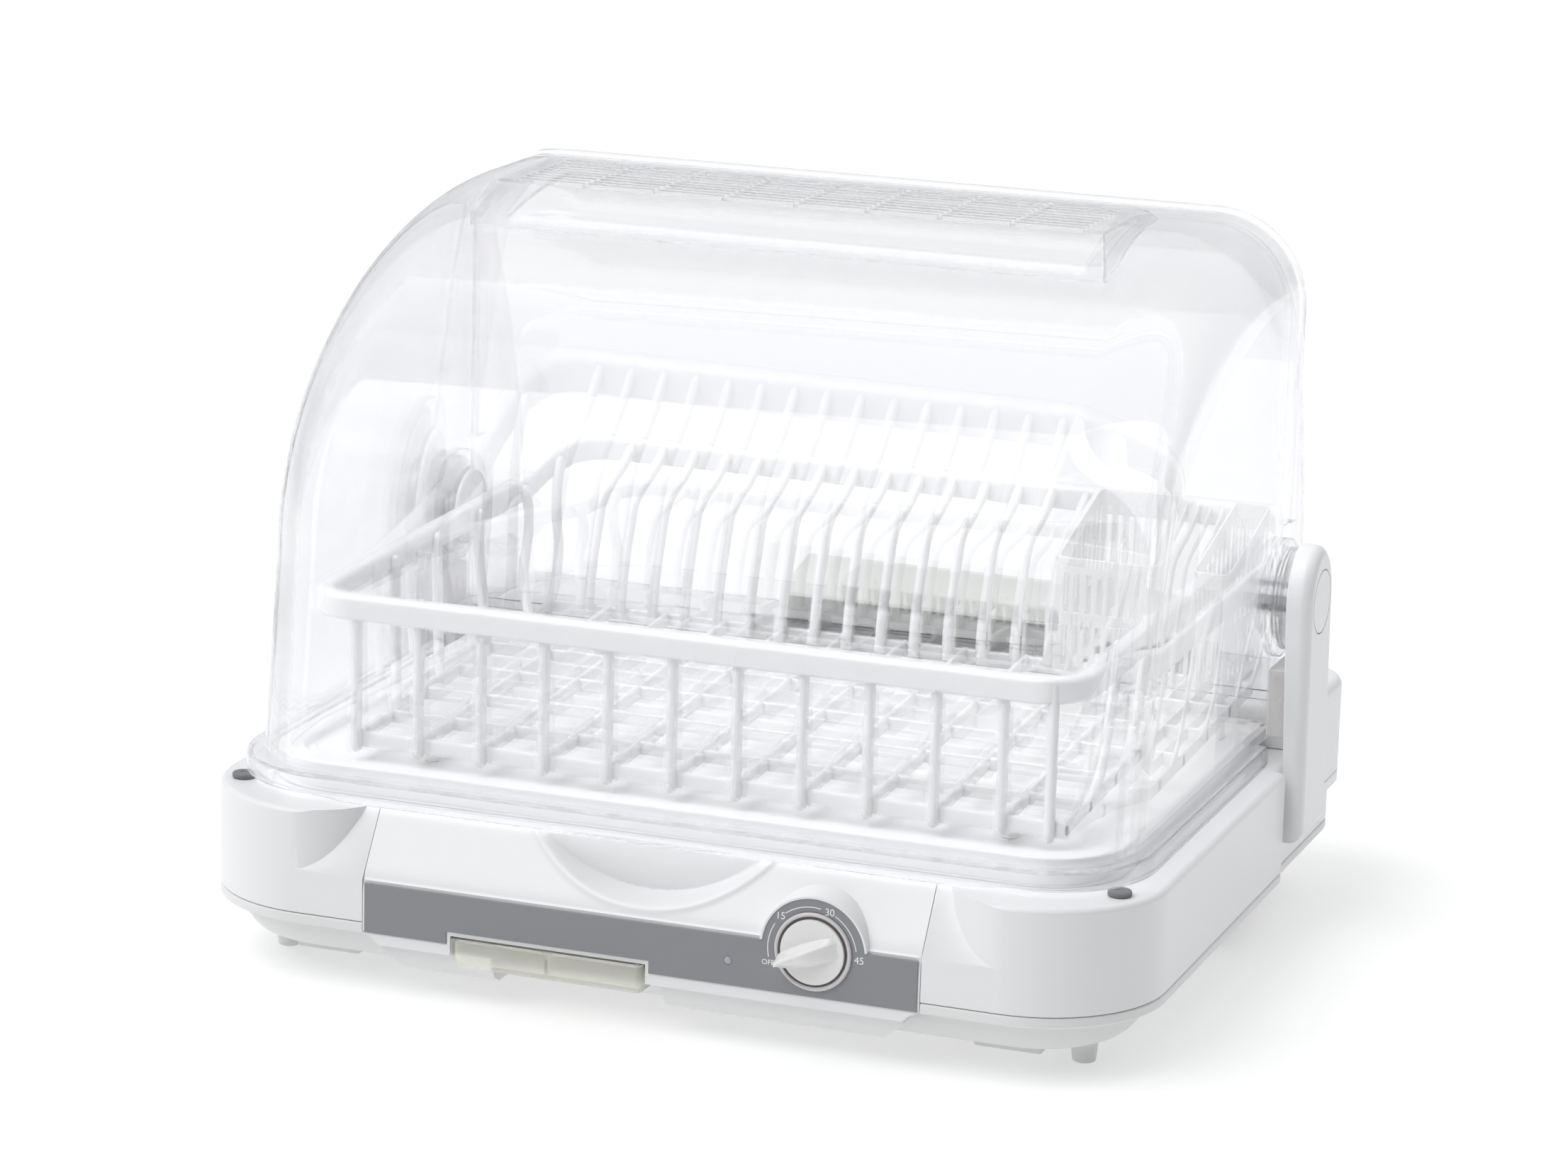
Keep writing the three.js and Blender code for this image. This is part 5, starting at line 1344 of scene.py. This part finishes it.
@dataclass
class Pillar:
    """One upright with its cap, washer, hub disc, bracket and bumper."""

    side: int
    label: str
    inside: float = 229.0
    outside: float = 239.0
    half_depth: float = 22.5
    top_rise: float = 27.4
    bottom: float = 47.0
    lean: float = 5.0
    spread: float = 2.5
    cap_radius: float = 15.2
    swell: float = 2.3

    def build_post(self) -> None:
        """The slim post with its broad soft outer edge and the ring round its cap."""
        y, z = PIVOT
        outline = [(y - self.half_depth + self.lean, self.bottom),
                   (y + self.half_depth + self.lean + self.spread, self.bottom)]
        outline += Shape.arc((y, z), (self.half_depth, self.top_rise), 0, 180, 40)
        post = Shape.slab(outline, self.inside, self.outside, Axis.X, 1.0, 6.0, 8)
        for point in post.points:
            if point.x < self.inside + 2:
                point.x -= self.swell * min(max((point.z - 60) / 105, 0.0), 1.0)
        near, far = self.cap_radius, self.cap_radius + 0.8
        groove = [(near, 237.9), (far, 237.9), (far, 245), (near, 245)]
        obj = Workshop.combine(f"post_{self.label}", post.sided(self.side), [
            (Operation.CUT, Shape.hoop(groove, (0, y, z), Axis.X, 96).sided(self.side)),
            (Operation.CUT, Shape.block((220, 234.5), (y - 16, y + 18), (50, 150), 1).sided(self.side)),
            (Operation.CUT, Shape.lathe([(7.4, 220), (7.4, 236)], (0, y, z), Axis.X, 32).sided(self.side)),
        ])
        Workshop.finish(obj, Finishes.HOUSING, "base", "white",
                        [f"pillar_{self.label}", f"pivot_cap_{self.label}"], 36)

    def build_hub(self) -> None:
        """The clear washer, the white hub disc with its slot, and the tinted bracket."""
        y, z = PIVOT
        washer = [(7.3, 221.3), (24.2, 221.3), (25, 221.7), (25, 222.2), (23.6, 222.6), (23.6, 223), (25, 223.4),
                  (25, 224), (24.4, 224.3), (7.3, 224.3)]
        Workshop.make(f"washer_{self.label}_fine", Shape.hoop(washer, (0, y, z), Axis.X, 72).sided(self.side),
                      Finishes.CLEAR_HUB, "base", "milky", [f"washer_{self.label}"], 30)
        disc = Shape.lathe([(0, 207.6), (16.2, 207.6), (17.8, 208), (18.5, 208.8), (18.5, 210.2), (0, 210.2)],
                           (0, y, z), Axis.X, 64)
        slot = Shape.block((205, 209), (y - 9, y + 9), (z - 1.3, z + 1.3), 0.3, Axis.X)
        obj = Workshop.combine(f"hub_disc_{self.label}", disc.sided(self.side),
                               [(Operation.CUT, slot.sided(self.side))])
        Workshop.finish(obj, Finishes.KNOB, "base", "white", [f"hub_cap_{self.label}"], 32)
        block = Shape.block((217.6, 228.7), (y - 14, y + 14), (98, 132), 1.2)
        room = Shape.block((220.1, 240), (y - 11.5, y + 11.5), (100.5, 129.5), 1.0)
        window = Shape.block((210, 219), (y - 3, y + 3), (104, 127), 0.8, Axis.X)
        obj = Workshop.combine(f"bracket_{self.label}", block.sided(self.side), [
            (Operation.CUT, room.sided(self.side)), (Operation.CUT, window.sided(self.side)),
        ])
        Workshop.finish(obj, Finishes.TINTED, "base", "tinted", [f"hinge_bracket_{self.label}"], 34)

    def build_bumper(self) -> None:
        """The small rubber rest under the rim."""
        profile = [(0, 84.3), (5.2, 84.3), (5.5, 84.6), (5.5, 86), (5.1, 86.5), (4.4, 86.7), (1.8, 86.7),
                   (1.4, 86.3), (0, 86.3)]
        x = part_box(f"bumper_{self.label}")
        middle = (x[0].x + x[1].x) / 2 / Layout.MILLIMETRE
        Workshop.make(f"rubber_rest_{self.label}", Shape.lathe(profile, (middle, -157.5, 0), Axis.Z, 32),
                      Finishes.RUBBER, "base", "rubber", [f"bumper_{self.label}"], 32)

    def build(self) -> None:
        """Builds and dresses one side."""
        self.build_post()
        self.build_hub()
        self.build_bumper()


@dataclass
class Hood:
    """The clear front hood with its rim, hubs and vent strip."""

    half_width: float = 216.0
    wall: float = 2.0
    foot: Flat = (-168.3, 94.0)
    shoulder: Flat = (-155.3, 190.4)
    top: float = 347.2
    arc_y: float = 62.9
    edge_radius: float = 44.0
    rear_edge: float = 114.0
    hub_edge: float = 99.0
    hub_edge_top: float = 197.6
    rim_half: float = 223.0
    rim_front: float = -179.5
    rim_corner: float = 52.0
    rim_back: float = 61.8
    rim_low: float = 87.0
    rim_drop: float = 2.0
    lip_half: float = 46.0
    lip_reach: float = 4.4
    bead: Flat = (106.0, 114.0)
    vent_half: float = 145.0
    vent: Flat = (-15.5, 52.5)
    vent_top: float = 354.0
    vent_flare: float = 14.0
    vent_drop: float = 8.0
    vent_wall: float = 2.0
    vent_slots: int = 9
    vent_bays: int = 8

    def profile(self, inset: float, steps: int = 60) -> list[Flat]:
        """The side view, from well below the foot to well behind the rear edge.

        Args:
            inset: How far it is set in.
            steps: How many facets the curved front has.

        Returns:
            The outline in y and z, anticlockwise.
        """
        run = (self.shoulder[0] - self.foot[0]) / (self.shoulder[1] - self.foot[1])
        low, back = self.foot[1] - 132, self.rear_edge + 132
        foot = self.foot[0] - run * (self.foot[1] - low) + inset
        radii = (self.arc_y - self.shoulder[0] - inset, self.top - self.shoulder[1] - inset)
        arc = Shape.arc((self.arc_y, self.shoulder[1]), radii, 90, 180, steps)
        return [(foot, low), (back, low), (back, self.top - inset), *arc]

    def body(self, inset: float, steps: int = 10) -> Form:
        """The hood as a solid, set in by a wall.

        Args:
            inset: How far it is set in.
            steps: How many facets the side edges' rounding has.

        Returns:
            The closed form.
        """
        half, radius = self.half_width - inset, self.edge_radius - inset
        return Shape.slab(self.profile(inset), -half, half, Axis.X, radius, radius, steps)

    @staticmethod
    def corner(centre: Flat, radius: float, sweep: float) -> list[Edge]:
        """Points round a corner, from the right.

        Args:
            centre: The corner's centre.
            radius: Its radius.
            sweep: How far it turns, in degrees.

        Returns:
            Each point with its outward direction.
        """
        turns = [math.radians(sweep * i / 16) for i in range(17)]
        normals = [(math.cos(a), math.sin(a)) for a in turns]
        return [((centre[0] + radius * u, centre[1] + radius * v), (u, v)) for u, v in normals]

    @staticmethod
    def mirrored(line: list[Edge]) -> list[Edge]:
        """A line on the right, and back along its mirror image on the left."""
        return line + [((-u, v), (-nu, nv)) for (u, v), (nu, nv) in reversed(line)]

    def rim(self) -> Form:
        """The flange round the hood's foot, open at the back, with the finger lip at its middle.

        Returns:
            The closed form.
        """
        line: list[Edge] = [((self.rim_half, self.rim_back - 61 * t / 6), (1.0, 0.0)) for t in range(7)]
        centre = (self.rim_half - self.rim_corner, self.rim_front + self.rim_corner)
        line += self.corner(centre, self.rim_corner, -90)
        line += [((x, self.rim_front), (0.0, -1.0)) for x in (162, 154, 120, 80, *range(48, 0, -4))]
        rings = []
        for (x, y), (nx, ny) in self.mirrored(line):
            reach = 8.2 * nx * nx + 12.4 * ny * ny
            front = ny < -0.999
            low = self.rim_low - (self.rim_drop * min(max((166 - abs(x)) / 12, 0.0), 1.0) if front else 0.0)
            push = self.lip_reach * max(1 - (x / self.lip_half) ** 2, 0.0) if front else 0.0
            section = [(0.0, low + 1.7), (0.0, 94.6), (0.35, 95.9), (1.1, 96.7), (2.2, 97.0), (reach, 97.0),
                       (reach, 94.5), (4.0, 94.5), (3.0, 94.1), (2.5, 93.2), (2.5, low + 0.6), (2.1, low),
                       (0.4, low), (0.1 - push, low + 0.2), (-push, low + 0.6), (0.1 - push, low + 1.2)]
            rings.append([Vector((x - nx * u, y - ny * u, z)) for u, z in section])
        return Shape.loft(rings)

    def rear_bead(self) -> Form:
        """The thicker strip along the hood's rear edge.

        Returns:
            The closed form.
        """
        line: list[Edge] = [((self.half_width, z), (1.0, 0.0)) for z in (self.hub_edge_top, 250.0)]
        centre = (self.half_width - self.edge_radius, self.top - self.edge_radius)
        line += self.corner(centre, self.edge_radius, 90)
        front, back = self.bead
        section = [(front, -0.6), (front, 0.9), (front + 0.5, 1.4), (back - 0.5, 1.4), (back, 0.9), (back, -0.6)]
        return Shape.loft([[Vector((x + nx * u, y, z + nz * u)) for y, u in section]
                           for (x, z), (nx, nz) in self.mirrored(line)])

    def build_shell(self) -> None:
        """The clear shell with its flange, hubs and open rear."""
        middle = (0, *PIVOT)
        steps = [
            (Operation.CUT, Shape.block((-300, 300), (self.rear_edge, 400), (-200, 400))),
            (Operation.CUT, Shape.block((-300, 300), (-300, 400), (-200, 94.6))),
            (Operation.CUT, Shape.block((-300, 300), (self.hub_edge, 400), (-200, self.hub_edge_top))),
            (Operation.JOIN, self.rim()),
            (Operation.JOIN, self.rear_bead()),
            (Operation.CUT, self.body(self.wall)),
        ]
        hub = [(0, 215.2), (29, 215.2), (29, 218.0), (28.2, 218.6), (28.2, 219.2), (29, 219.8), (29, 220.6),
               (28.6, 221), (24.5, 221), (24.5, 220.2), (21, 220.2), (21, 221), (0, 221)]
        steps += [(Operation.JOIN, Shape.lathe(hub, middle, Axis.X, 72).sided(side)) for side in (1, -1)]
        steps += [
            (Operation.CUT, Shape.lathe([(7.8, -250), (7.8, 250)], middle, Axis.X, 40)),
            (Operation.CUT, Shape.block((-self.vent_half, self.vent_half), self.vent, (320, 370))),
        ]
        obj = Workshop.combine("hood_shell", self.body(0), steps)
        Workshop.finish(obj, Finishes.CLEAR, "hood", "clear", ["front_hood"], 30)

    def vent_block(self, name: str, inset: float) -> bpy.types.Object:
        """The vent strip's outer block, or the room in it.

        Args:
            name: The object's name.
            inset: How far it is set in.

        Returns:
            The object.
        """
        low, top, narrow = self.top + 0.3 - self.vent_drop, self.vent_top, self.vent_half
        front, back, wide = self.vent[0], self.vent[1], self.vent_half + self.vent_flare
        section = [(front - self.vent_flare + inset, low - 20), (back + self.vent_flare - inset, low - 20),
                   (back + self.vent_flare - inset, low + self.vent_drop), (back - inset, top - inset),
                   (front + inset, top - inset), (front - self.vent_flare + inset, low)]
        ends = [(-wide + inset, low - 40), (wide - inset, low - 40), (wide - inset, low),
                (narrow - inset, top + 20), (-narrow + inset, top + 20), (-wide + inset, low)]
        return Workshop.combine(name, Shape.slab(section, -wide - 20, wide + 20, Axis.X), [
            (Operation.KEEP, Shape.slab(ends, -190, 190, Axis.Y)),
        ])

    def build_vent(self) -> None:
        """The raised strip with its long slots and cross ribs."""
        front, back = self.vent
        wall = self.vent_wall
        pitch = (back - front - 2 * wall) / self.vent_slots
        bay = 2 * (self.vent_half - wall) / self.vent_bays
        slots = Form()
        for row in range(self.vent_slots):
            y = front + wall + pitch * (row + 0.5)
            for column in range(self.vent_bays):
                left = -self.vent_half + wall + bay * column + 1.2
                slots.add(Shape.block((left, left + bay - 2.4), (y - 1.9, y + 1.9), (349.6, 370), 0.3))
        obj = self.vent_block("vent_strip", 0)
        Workshop.modify(obj, self.vent_block("vent_room", wall), Operation.CUT)
        Workshop.modify(obj, Workshop.raw(self.body(-0.3), "vent_under"), Operation.CUT)
        Workshop.modify(obj, Workshop.raw(slots, "vent_slots"), Operation.CUT)
        Workshop.finish(obj, Finishes.CLEAR_VENT, "hood", "clear", ["vent_grille"], 24)

    def build(self) -> None:
        """Builds and dresses the front hood."""
        self.build_shell()
        self.build_vent()


@dataclass
class RearHood:
    """The clear shell behind, which stays still."""

    half_width: float = 212.5
    wall: float = 2.0
    front: float = 95.0
    back: float = 187.0
    shoulder: float = 174.0
    top: float = 343.8
    power: float = 1.8
    edge_radius: float = 41.0
    foot: float = 107.3

    def profile(self, inset: float, steps: int = 32) -> list[Flat]:
        """The side view: a soft quarter round from the top edge down to the foot.

        Args:
            inset: How far it is set in.
            steps: How many facets the curve has.

        Returns:
            The outline in y and z, anticlockwise.
        """
        reach, rise = self.back - self.front - inset, self.top - self.shoulder - inset
        front, low = self.front - 123, self.foot - 123
        outline = [(front, low), (self.front + reach, low)]
        for i in range(steps + 1):
            a = math.pi / 2 * i / steps
            outline.append((self.front + reach * math.cos(a) ** (2 / self.power),
                            self.shoulder + rise * math.sin(a) ** (2 / self.power)))
        return [*outline, (front, self.shoulder + rise)]

    def body(self, inset: float) -> Form:
        """The shell as a solid, set in by a wall."""
        half, radius = self.half_width - inset, self.edge_radius - inset
        return Shape.slab(self.profile(inset), -half, half, Axis.X, radius, radius, 10)

    def build(self) -> None:
        """Builds and dresses the rear hood."""
        middle = (0, *PIVOT)
        ear = [(0, 210.5), (19.4, 210.5), (20, 211), (20, 212.2), (19.6, 212.5), (0, 212.5)]
        steps = [
            (Operation.CUT, self.body(self.wall)),
            (Operation.CUT, Shape.block((-300, 300), (-300, self.front), (-200, 500))),
            (Operation.CUT, Shape.block((-300, 300), (-300, 400), (-200, self.foot))),
        ]
        steps += [(Operation.JOIN, Shape.lathe(ear, middle, Axis.X, 56).sided(side)) for side in (1, -1)]
        steps += [(Operation.CUT, Shape.lathe([(7.3, -250), (7.3, 250)], middle, Axis.X, 32))]
        obj = Workshop.combine("rear_shell", self.body(0), steps)
        Workshop.finish(obj, Finishes.CLEAR_REAR, "base", "clear", ["rear_hood"], 30)


@dataclass
class DishBasket:
    """The white rod basket."""

    half_width: float = 192.0
    front: float = -147.5
    back: float = 150.5
    front_corner: float = 25.0
    back_corner: float = 40.0
    rim_width: float = 9.0
    rim_height: float = 12.0
    floor_back: float = 90.0
    rod: float = 2.6
    side_rods: tuple[Point, ...] = ((-98.0, -62.0, 0.0), (-48.0, -13.5, 0.0), (4.0, 39.0, 2.0),
                                    (62.0, 95.0, -5.0), (88.0, 128.0, 4.0))

    @staticmethod
    def rim_top(y: float) -> float:
        """The height of the rim's top.

        Args:
            y: The place from front to back.

        Returns:
            The height.
        """
        if y < 107:
            return 175.5 + 4 * (y + 147.5) / 254.5
        share = min((y - 107) / 40, 1)
        return 179.5 + 16.5 * share * share * (3 - 2 * share)

    @staticmethod
    def floor(y: float) -> float:
        """The floor bars' height at a place from front to back."""
        return 106 + 12 * (y + 147.5) / 237.5

    def rim(self) -> Form:
        """The rim as a rounded band that climbs at the back.

        Returns:
            The closed form.
        """
        half = self.rim_width / 2
        outline = Shape.rectangle((-self.half_width + half, self.half_width - half),
                                  (self.front + half, self.back - half),
                                  [self.front_corner - half] * 2 + [self.back_corner - half] * 2, 12)
        section = Shape.rectangle((-half, half), (-self.rim_height, 0), (1.4, 1.4, 2.8, 2.8), 5)
        rings = []
        for point, across in Shape.stations(outline, 8):
            rings.append([point + across * u + Vector((0, 0, self.rim_top(point.y + across.y * u) + v))
                          for u, v in section])
        return Shape.loft(rings, closed=True)

    @staticmethod
    def rib(start: Vector, end: Vector, half: float, depth: float) -> Form:
        """A floor rib with flat sides and a rounded top.

        Args:
            start: The middle of its top at one end.
            end: The middle of its top at the other end.
            half: Half its width.
            depth: How far down it reaches.

        Returns:
            The rib.
        """
        run = (end - start).normalized()
        across = Vector((run.y, -run.x, 0)).normalized()
        right = [(half * 0.8, -depth), (half, -depth + 0.6), (half, -1.1), (half * 0.72, -0.35), (half * 0.3, 0)]
        section = [(-half * 0.8, -depth), *right, *((-u, v) for u, v in reversed(right[1:]))]
        return Shape.loft([[point + across * u + Vector((0, 0, v)) for u, v in section] for point in (start, end)])

    def build(self) -> None:
        """Builds and dresses the basket."""
        form = self.rim()
        rod_y = self.front + self.rim_width / 2
        xs = [-163.9 + 31.8 * i for i in range(11)]
        for x in [*xs, 177.0]:
            low = self.floor(rod_y) - 4.6
            line = [Vector((x, rod_y, 172)), Vector((x, rod_y, low + 3)), Vector((x, rod_y + 0.4, low))]
            form.add(Shape.tube(line, self.rod, 14))
        for x in [*xs, 183.0]:
            form.add(self.rib(Vector((x, rod_y + 1, self.floor(rod_y) + 2.5)),
                              Vector((x, self.floor_back + 1, self.floor(self.floor_back) + 2.5)), 1.6, 6.4))
        for i in range(7):
            y = rod_y + (self.floor_back - rod_y) * i / 6 + (2.2 if i == 0 else 0)
            top = self.floor(y) + (3.0 if i == 0 else 2.0)
            form.add(self.rib(Vector((-165.5, y, top)), Vector((184.6, y, top)), 1.5, 7.6 if i == 0 else 6.2))
        rear_y = self.back - self.rim_width / 2
        for x in [-142.5 + 17.5 * i for i in range(15)]:
            line = [(87.5, 118.5), (89.2, 132), (93.6, 147), (98.6, 160.2), (103.6, 171.4), (114, 177.6),
                    (126, 181.8), (136.0, 187.0), (rear_y - 3.6, 191.0)]
            path = Shape.curve([Vector((x, y, z)) for y, z in line], 4)
            form.add(Shape.tube(path, self.rod, 12, up=Vector((1, 0, 0))))
        for foot_y, rim_y, sway in self.side_rods:
            for side, foot in ((-1, 163.9), (1, 183.0)):
                form.add(self.side_rod(side, foot, (foot_y, rim_y), sway))
        for x in (xs[1], xs[10]):
            for y in (rod_y + 15.9, self.floor_back - 15.9):
                top = self.floor(y)
                profile = [(0, 95.0), (3.6, 95.0), (4, 95.4), (3.6, 101), (3.2, top), (0, top)]
                form.add(Shape.lathe(profile, (x, y, 0), Axis.Z, 20))
        Workshop.make("dish_basket_fine", form, Finishes.BASKET, "basket", "basket_white", ["dish_basket"],
                      50)

    def inner_face(self, y: float) -> float:
        """How far out the rim's inner face stands.

        Args:
            y: The place from front to back.

        Returns:
            The distance from the middle.
        """
        wide = self.half_width - self.rim_width
        radius = self.back_corner - self.rim_width
        over = y - (self.back - self.back_corner)
        return wide if over <= 0 else wide - radius + math.sqrt(max(radius ** 2 - over ** 2, 0.0))

    def side_rod(self, side: int, foot: float, run: Flat, sway: float) -> Form:
        """A gently waved rod from the floor up to a nub on the rim's inner face.

        Args:
            side: 1 for the right, -1 for the left.
            foot: How far out its foot stands.
            run: Where its foot and its top are from front to back.
            sway: How far its middle bends backwards.

        Returns:
            The rod.
        """
        top = self.inner_face(run[1]) - 1.2
        low, high = self.floor(run[0]), self.rim_top(run[1]) - 5
        points = []
        for up, across in ((0.0, 0.0), (0.14, 0.35), (0.36, 0.62), (0.58, 0.80), (0.80, 0.97), (1.0, 1.0)):
            bend = sway * math.sin(2 * math.pi * up)
            points.append(Vector((side * (foot + (top - foot) * across),
                                  run[0] + (run[1] - run[0]) * across + bend, low + (high - low) * up)))
        return Shape.tube(Shape.curve(points, 4), self.rod, 12, up=Vector((0, 1, 0)))


@dataclass
class CutleryBasket:
    """The milky ribbed basket at the right rear."""

    left: float = 112.0
    right: float = 164.0
    front: float = 62.2
    back: float = 133.7
    bottom: float = 120.5
    rim_front: float = 179.0
    rim_back: float = 199.0
    wall: float = 1.6

    def rim_at(self, y: float) -> float:
        """The rim's height at a place from front to back."""
        return self.rim_front + (self.rim_back - self.rim_front) * (y - self.front) / (self.back - self.front)

    def build(self) -> None:
        """Builds and dresses the cutlery basket."""
        w, bottom = self.wall, self.bottom
        half = w / 2
        outline = Shape.rectangle((self.left + half, self.right - half), (self.front + half, self.back - half),
                                  4.0, 5)
        bands: list[Callable[[float], Point]] = [
            lambda y: (bottom, bottom + 5, half),
            lambda y: (145.5, 152.0, half),
            lambda y: (self.rim_at(y) - 8, self.rim_at(y) - 2, half),
            lambda y: (self.rim_at(y) - 3.2, self.rim_at(y), half + 1.2),
        ]
        form = Form()
        for band in bands:
            rings = []
            for point, across in Shape.stations(outline, 4):
                low, high, outer = band(point.y)
                section = Shape.rectangle((-half, outer), (low, high), 0.5, 2)
                rings.append([point + across * u + Vector((0, 0, v)) for u, v in section])
            form.add(Shape.loft(rings, closed=True))
        for i in range(9):
            x = self.left + 3.2 + (self.right - self.left - 6.4) * i / 8
            for y in (self.front, self.back - w):
                height = (122, self.rim_at(y) - 5)
                form.add(Shape.block((x - 1.5, x + 1.5), (y + 0.1, y + w - 0.1), height, 0.4))
        for i in range(9):
            y = self.front + 3.8 + (self.back - self.front - 7.6) * i / 8
            for x in (self.left, self.right - w):
                height = (122, self.rim_at(y) - 5)
                form.add(Shape.block((x + 0.1, x + w - 0.1), (y - 2.2, y + 2.2), height, 0.4))
        for i in range(5):
            x = self.left + 4 + (self.right - self.left - 8) * i / 4
            form.add(Shape.block((x - 2.4, x + 2.4), (self.front + 0.5, self.back - 0.5), (bottom, bottom + w), 0.4))
        form.add(Shape.block((self.left + 1, self.right - 1), (95, 101), (bottom + 0.1, bottom + w + 0.4), 0.4))
        Workshop.make("cutlery_basket_fine", form, Finishes.MILKY, "cutlery", "milky", ["cutlery_basket"], 40)


class InnerWorks:
    """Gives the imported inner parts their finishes."""

    DRESS = {
        Finishes.STEEL: ("timer_shaft", "fan_motor", "heater", "pivot_pin_left", "pivot_pin_right"),
        Finishes.DARK: ("timer_body", "fan_wheel", "thermostat", "cord_gland"),
        Finishes.FILTER: ("intake_filter",),
        Finishes.INNER: ("air_duct", "terminal_block"),
    }

    def build(self) -> None:
        """Dresses each carried-over node."""
        for finish, names in self.DRESS.items():
            for name in names:
                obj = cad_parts[name]
                obj.data.materials.clear()
                obj.data.materials.append(finish.material())
                LOG.info("%s: carried over", name)


@dataclass
class Studio:
    """The floor, the light and the camera."""

    yaw: float = 20.186
    pitch: float = 14.066
    roll: float = 1.555
    place: Point = (0.7998, -2.1828, 0.7482)
    lens: float = 114.47
    sensor: float = 36.0
    floor_half: float = 6.0
    floor_glow: float = 0.42
    horizon: Point = (0.46, 0.465, 0.48)
    zenith: Point = (0.98, 0.985, 0.995)
    zenith_at: float = 0.75
    dim_towards: Point = (0.72, -0.69, 0.0)
    dim_span: Flat = (0.42, 0.80)
    key_from: Point = (-0.40, -0.40, 0.82)
    key_spread: float = 45.0
    key_power: float = 1.25

    def build_camera(self) -> None:
        """The camera at the photograph's viewing angle."""
        camera = bpy.data.cameras.new("camera")
        camera.lens = self.lens
        camera.sensor_width = self.sensor
        camera.sensor_fit = "HORIZONTAL"
        camera.clip_end = 50
        obj = Workshop.place("camera", camera)
        a, e, r = (math.radians(v) for v in (self.yaw, self.pitch, self.roll))
        back = Vector((math.sin(a) * math.cos(e), -math.cos(a) * math.cos(e), math.sin(e)))
        right = Vector((math.cos(a), math.sin(a), 0))
        up = back.cross(right)
        across = right * math.cos(r) + up * math.sin(r)
        over = up * math.cos(r) - right * math.sin(r)
        turn = Matrix((across, over, back)).transposed().to_4x4()
        obj.matrix_world = Matrix.Translation(self.place) @ turn
        bpy.context.scene.camera = obj

    def build_floor(self) -> None:
        """The plain pale floor."""
        mesh, far = bpy.data.meshes.new("studio_floor"), self.floor_half
        mesh.from_pydata([(-far, -far, 0), (far, -far, 0), (far, far, 0), (-far, far, 0)], [], [(0, 1, 2, 3)])
        obj = Workshop.place("studio_floor", mesh)
        material = Finishes.FLOOR.material()
        shader = material.node_tree.nodes["Principled BSDF"]
        shader.inputs["Emission Color"].default_value = (1.0, 1.0, 1.0, 1.0)
        shader.inputs["Emission Strength"].default_value = self.floor_glow
        mesh.materials.append(material)

    def build_key(self) -> None:
        """One broad soft lamp, so far off that it lights the whole floor alike."""
        light = bpy.data.lights.new("key_lamp", "SUN")
        light.angle = math.radians(self.key_spread)
        light.energy = self.key_power
        obj = Workshop.place("key_lamp", light)
        obj.location = self.key_from
        obj.rotation_euler = (-Vector(self.key_from)).to_track_quat("-Z", "Y").to_euler()

    def build_surround(self) -> None:
        """A bright surround, dimmer low down and towards the right front."""
        world = bpy.data.worlds.new("studio")
        bpy.context.scene.world = world
        world.use_nodes = True
        nodes, links = world.node_tree.nodes, world.node_tree.links
        background = nodes["Background"]
        where = nodes.new("ShaderNodeTexCoord")
        split = nodes.new("ShaderNodeSeparateXYZ")
        ramp = nodes.new("ShaderNodeValToRGB")
        stops = ramp.color_ramp.elements
        stops[0].position, stops[0].color = 0.0, (*self.horizon, 1)
        stops[1].position, stops[1].color = self.zenith_at, (*self.zenith, 1)
        links.new(where.outputs["Generated"], split.inputs["Vector"])
        links.new(split.outputs["Z"], ramp.inputs["Fac"])
        facing = nodes.new("ShaderNodeVectorMath")
        facing.operation = "DOT_PRODUCT"
        facing.inputs[1].default_value = self.dim_towards
        links.new(where.outputs["Generated"], facing.inputs[0])
        shade = nodes.new("ShaderNodeMapRange")
        shade.interpolation_type = "SMOOTHSTEP"
        shade.inputs["From Min"].default_value = self.dim_span[0]
        shade.inputs["From Max"].default_value = self.dim_span[1]
        shade.inputs["To Min"].default_value = 1.0
        shade.inputs["To Max"].default_value = 0.0
        links.new(facing.outputs["Value"], shade.inputs["Value"])
        dim = nodes.new("ShaderNodeMix")
        dim.data_type = "RGBA"
        dim.blend_type = "MULTIPLY"
        dim.inputs["Factor"].default_value = 1.0
        links.new(ramp.outputs["Color"], dim.inputs["A"])
        links.new(shade.outputs["Result"], dim.inputs["B"])
        links.new(dim.outputs["Result"], background.inputs["Color"])

    def build(self) -> None:
        """Sets up the studio."""
        self.build_camera()
        self.build_floor()
        self.build_surround()
        self.build_key()
        bpy.context.scene.view_settings.view_transform = "Standard"


def main() -> None:
    """Builds the studio and every sub-assembly in order."""
    logging.basicConfig(level=logging.INFO, format="%(name)s %(message)s")
    Studio().build()
    for assembly in (Base(), Controls(), Drawer(), Outlet(), Pillar(-1, "left"), Pillar(1, "right"),
                     DishBasket(), CutleryBasket(), RearHood(), Hood(), InnerWorks()):
        assembly.build()


if __name__ == "__main__":
    main()
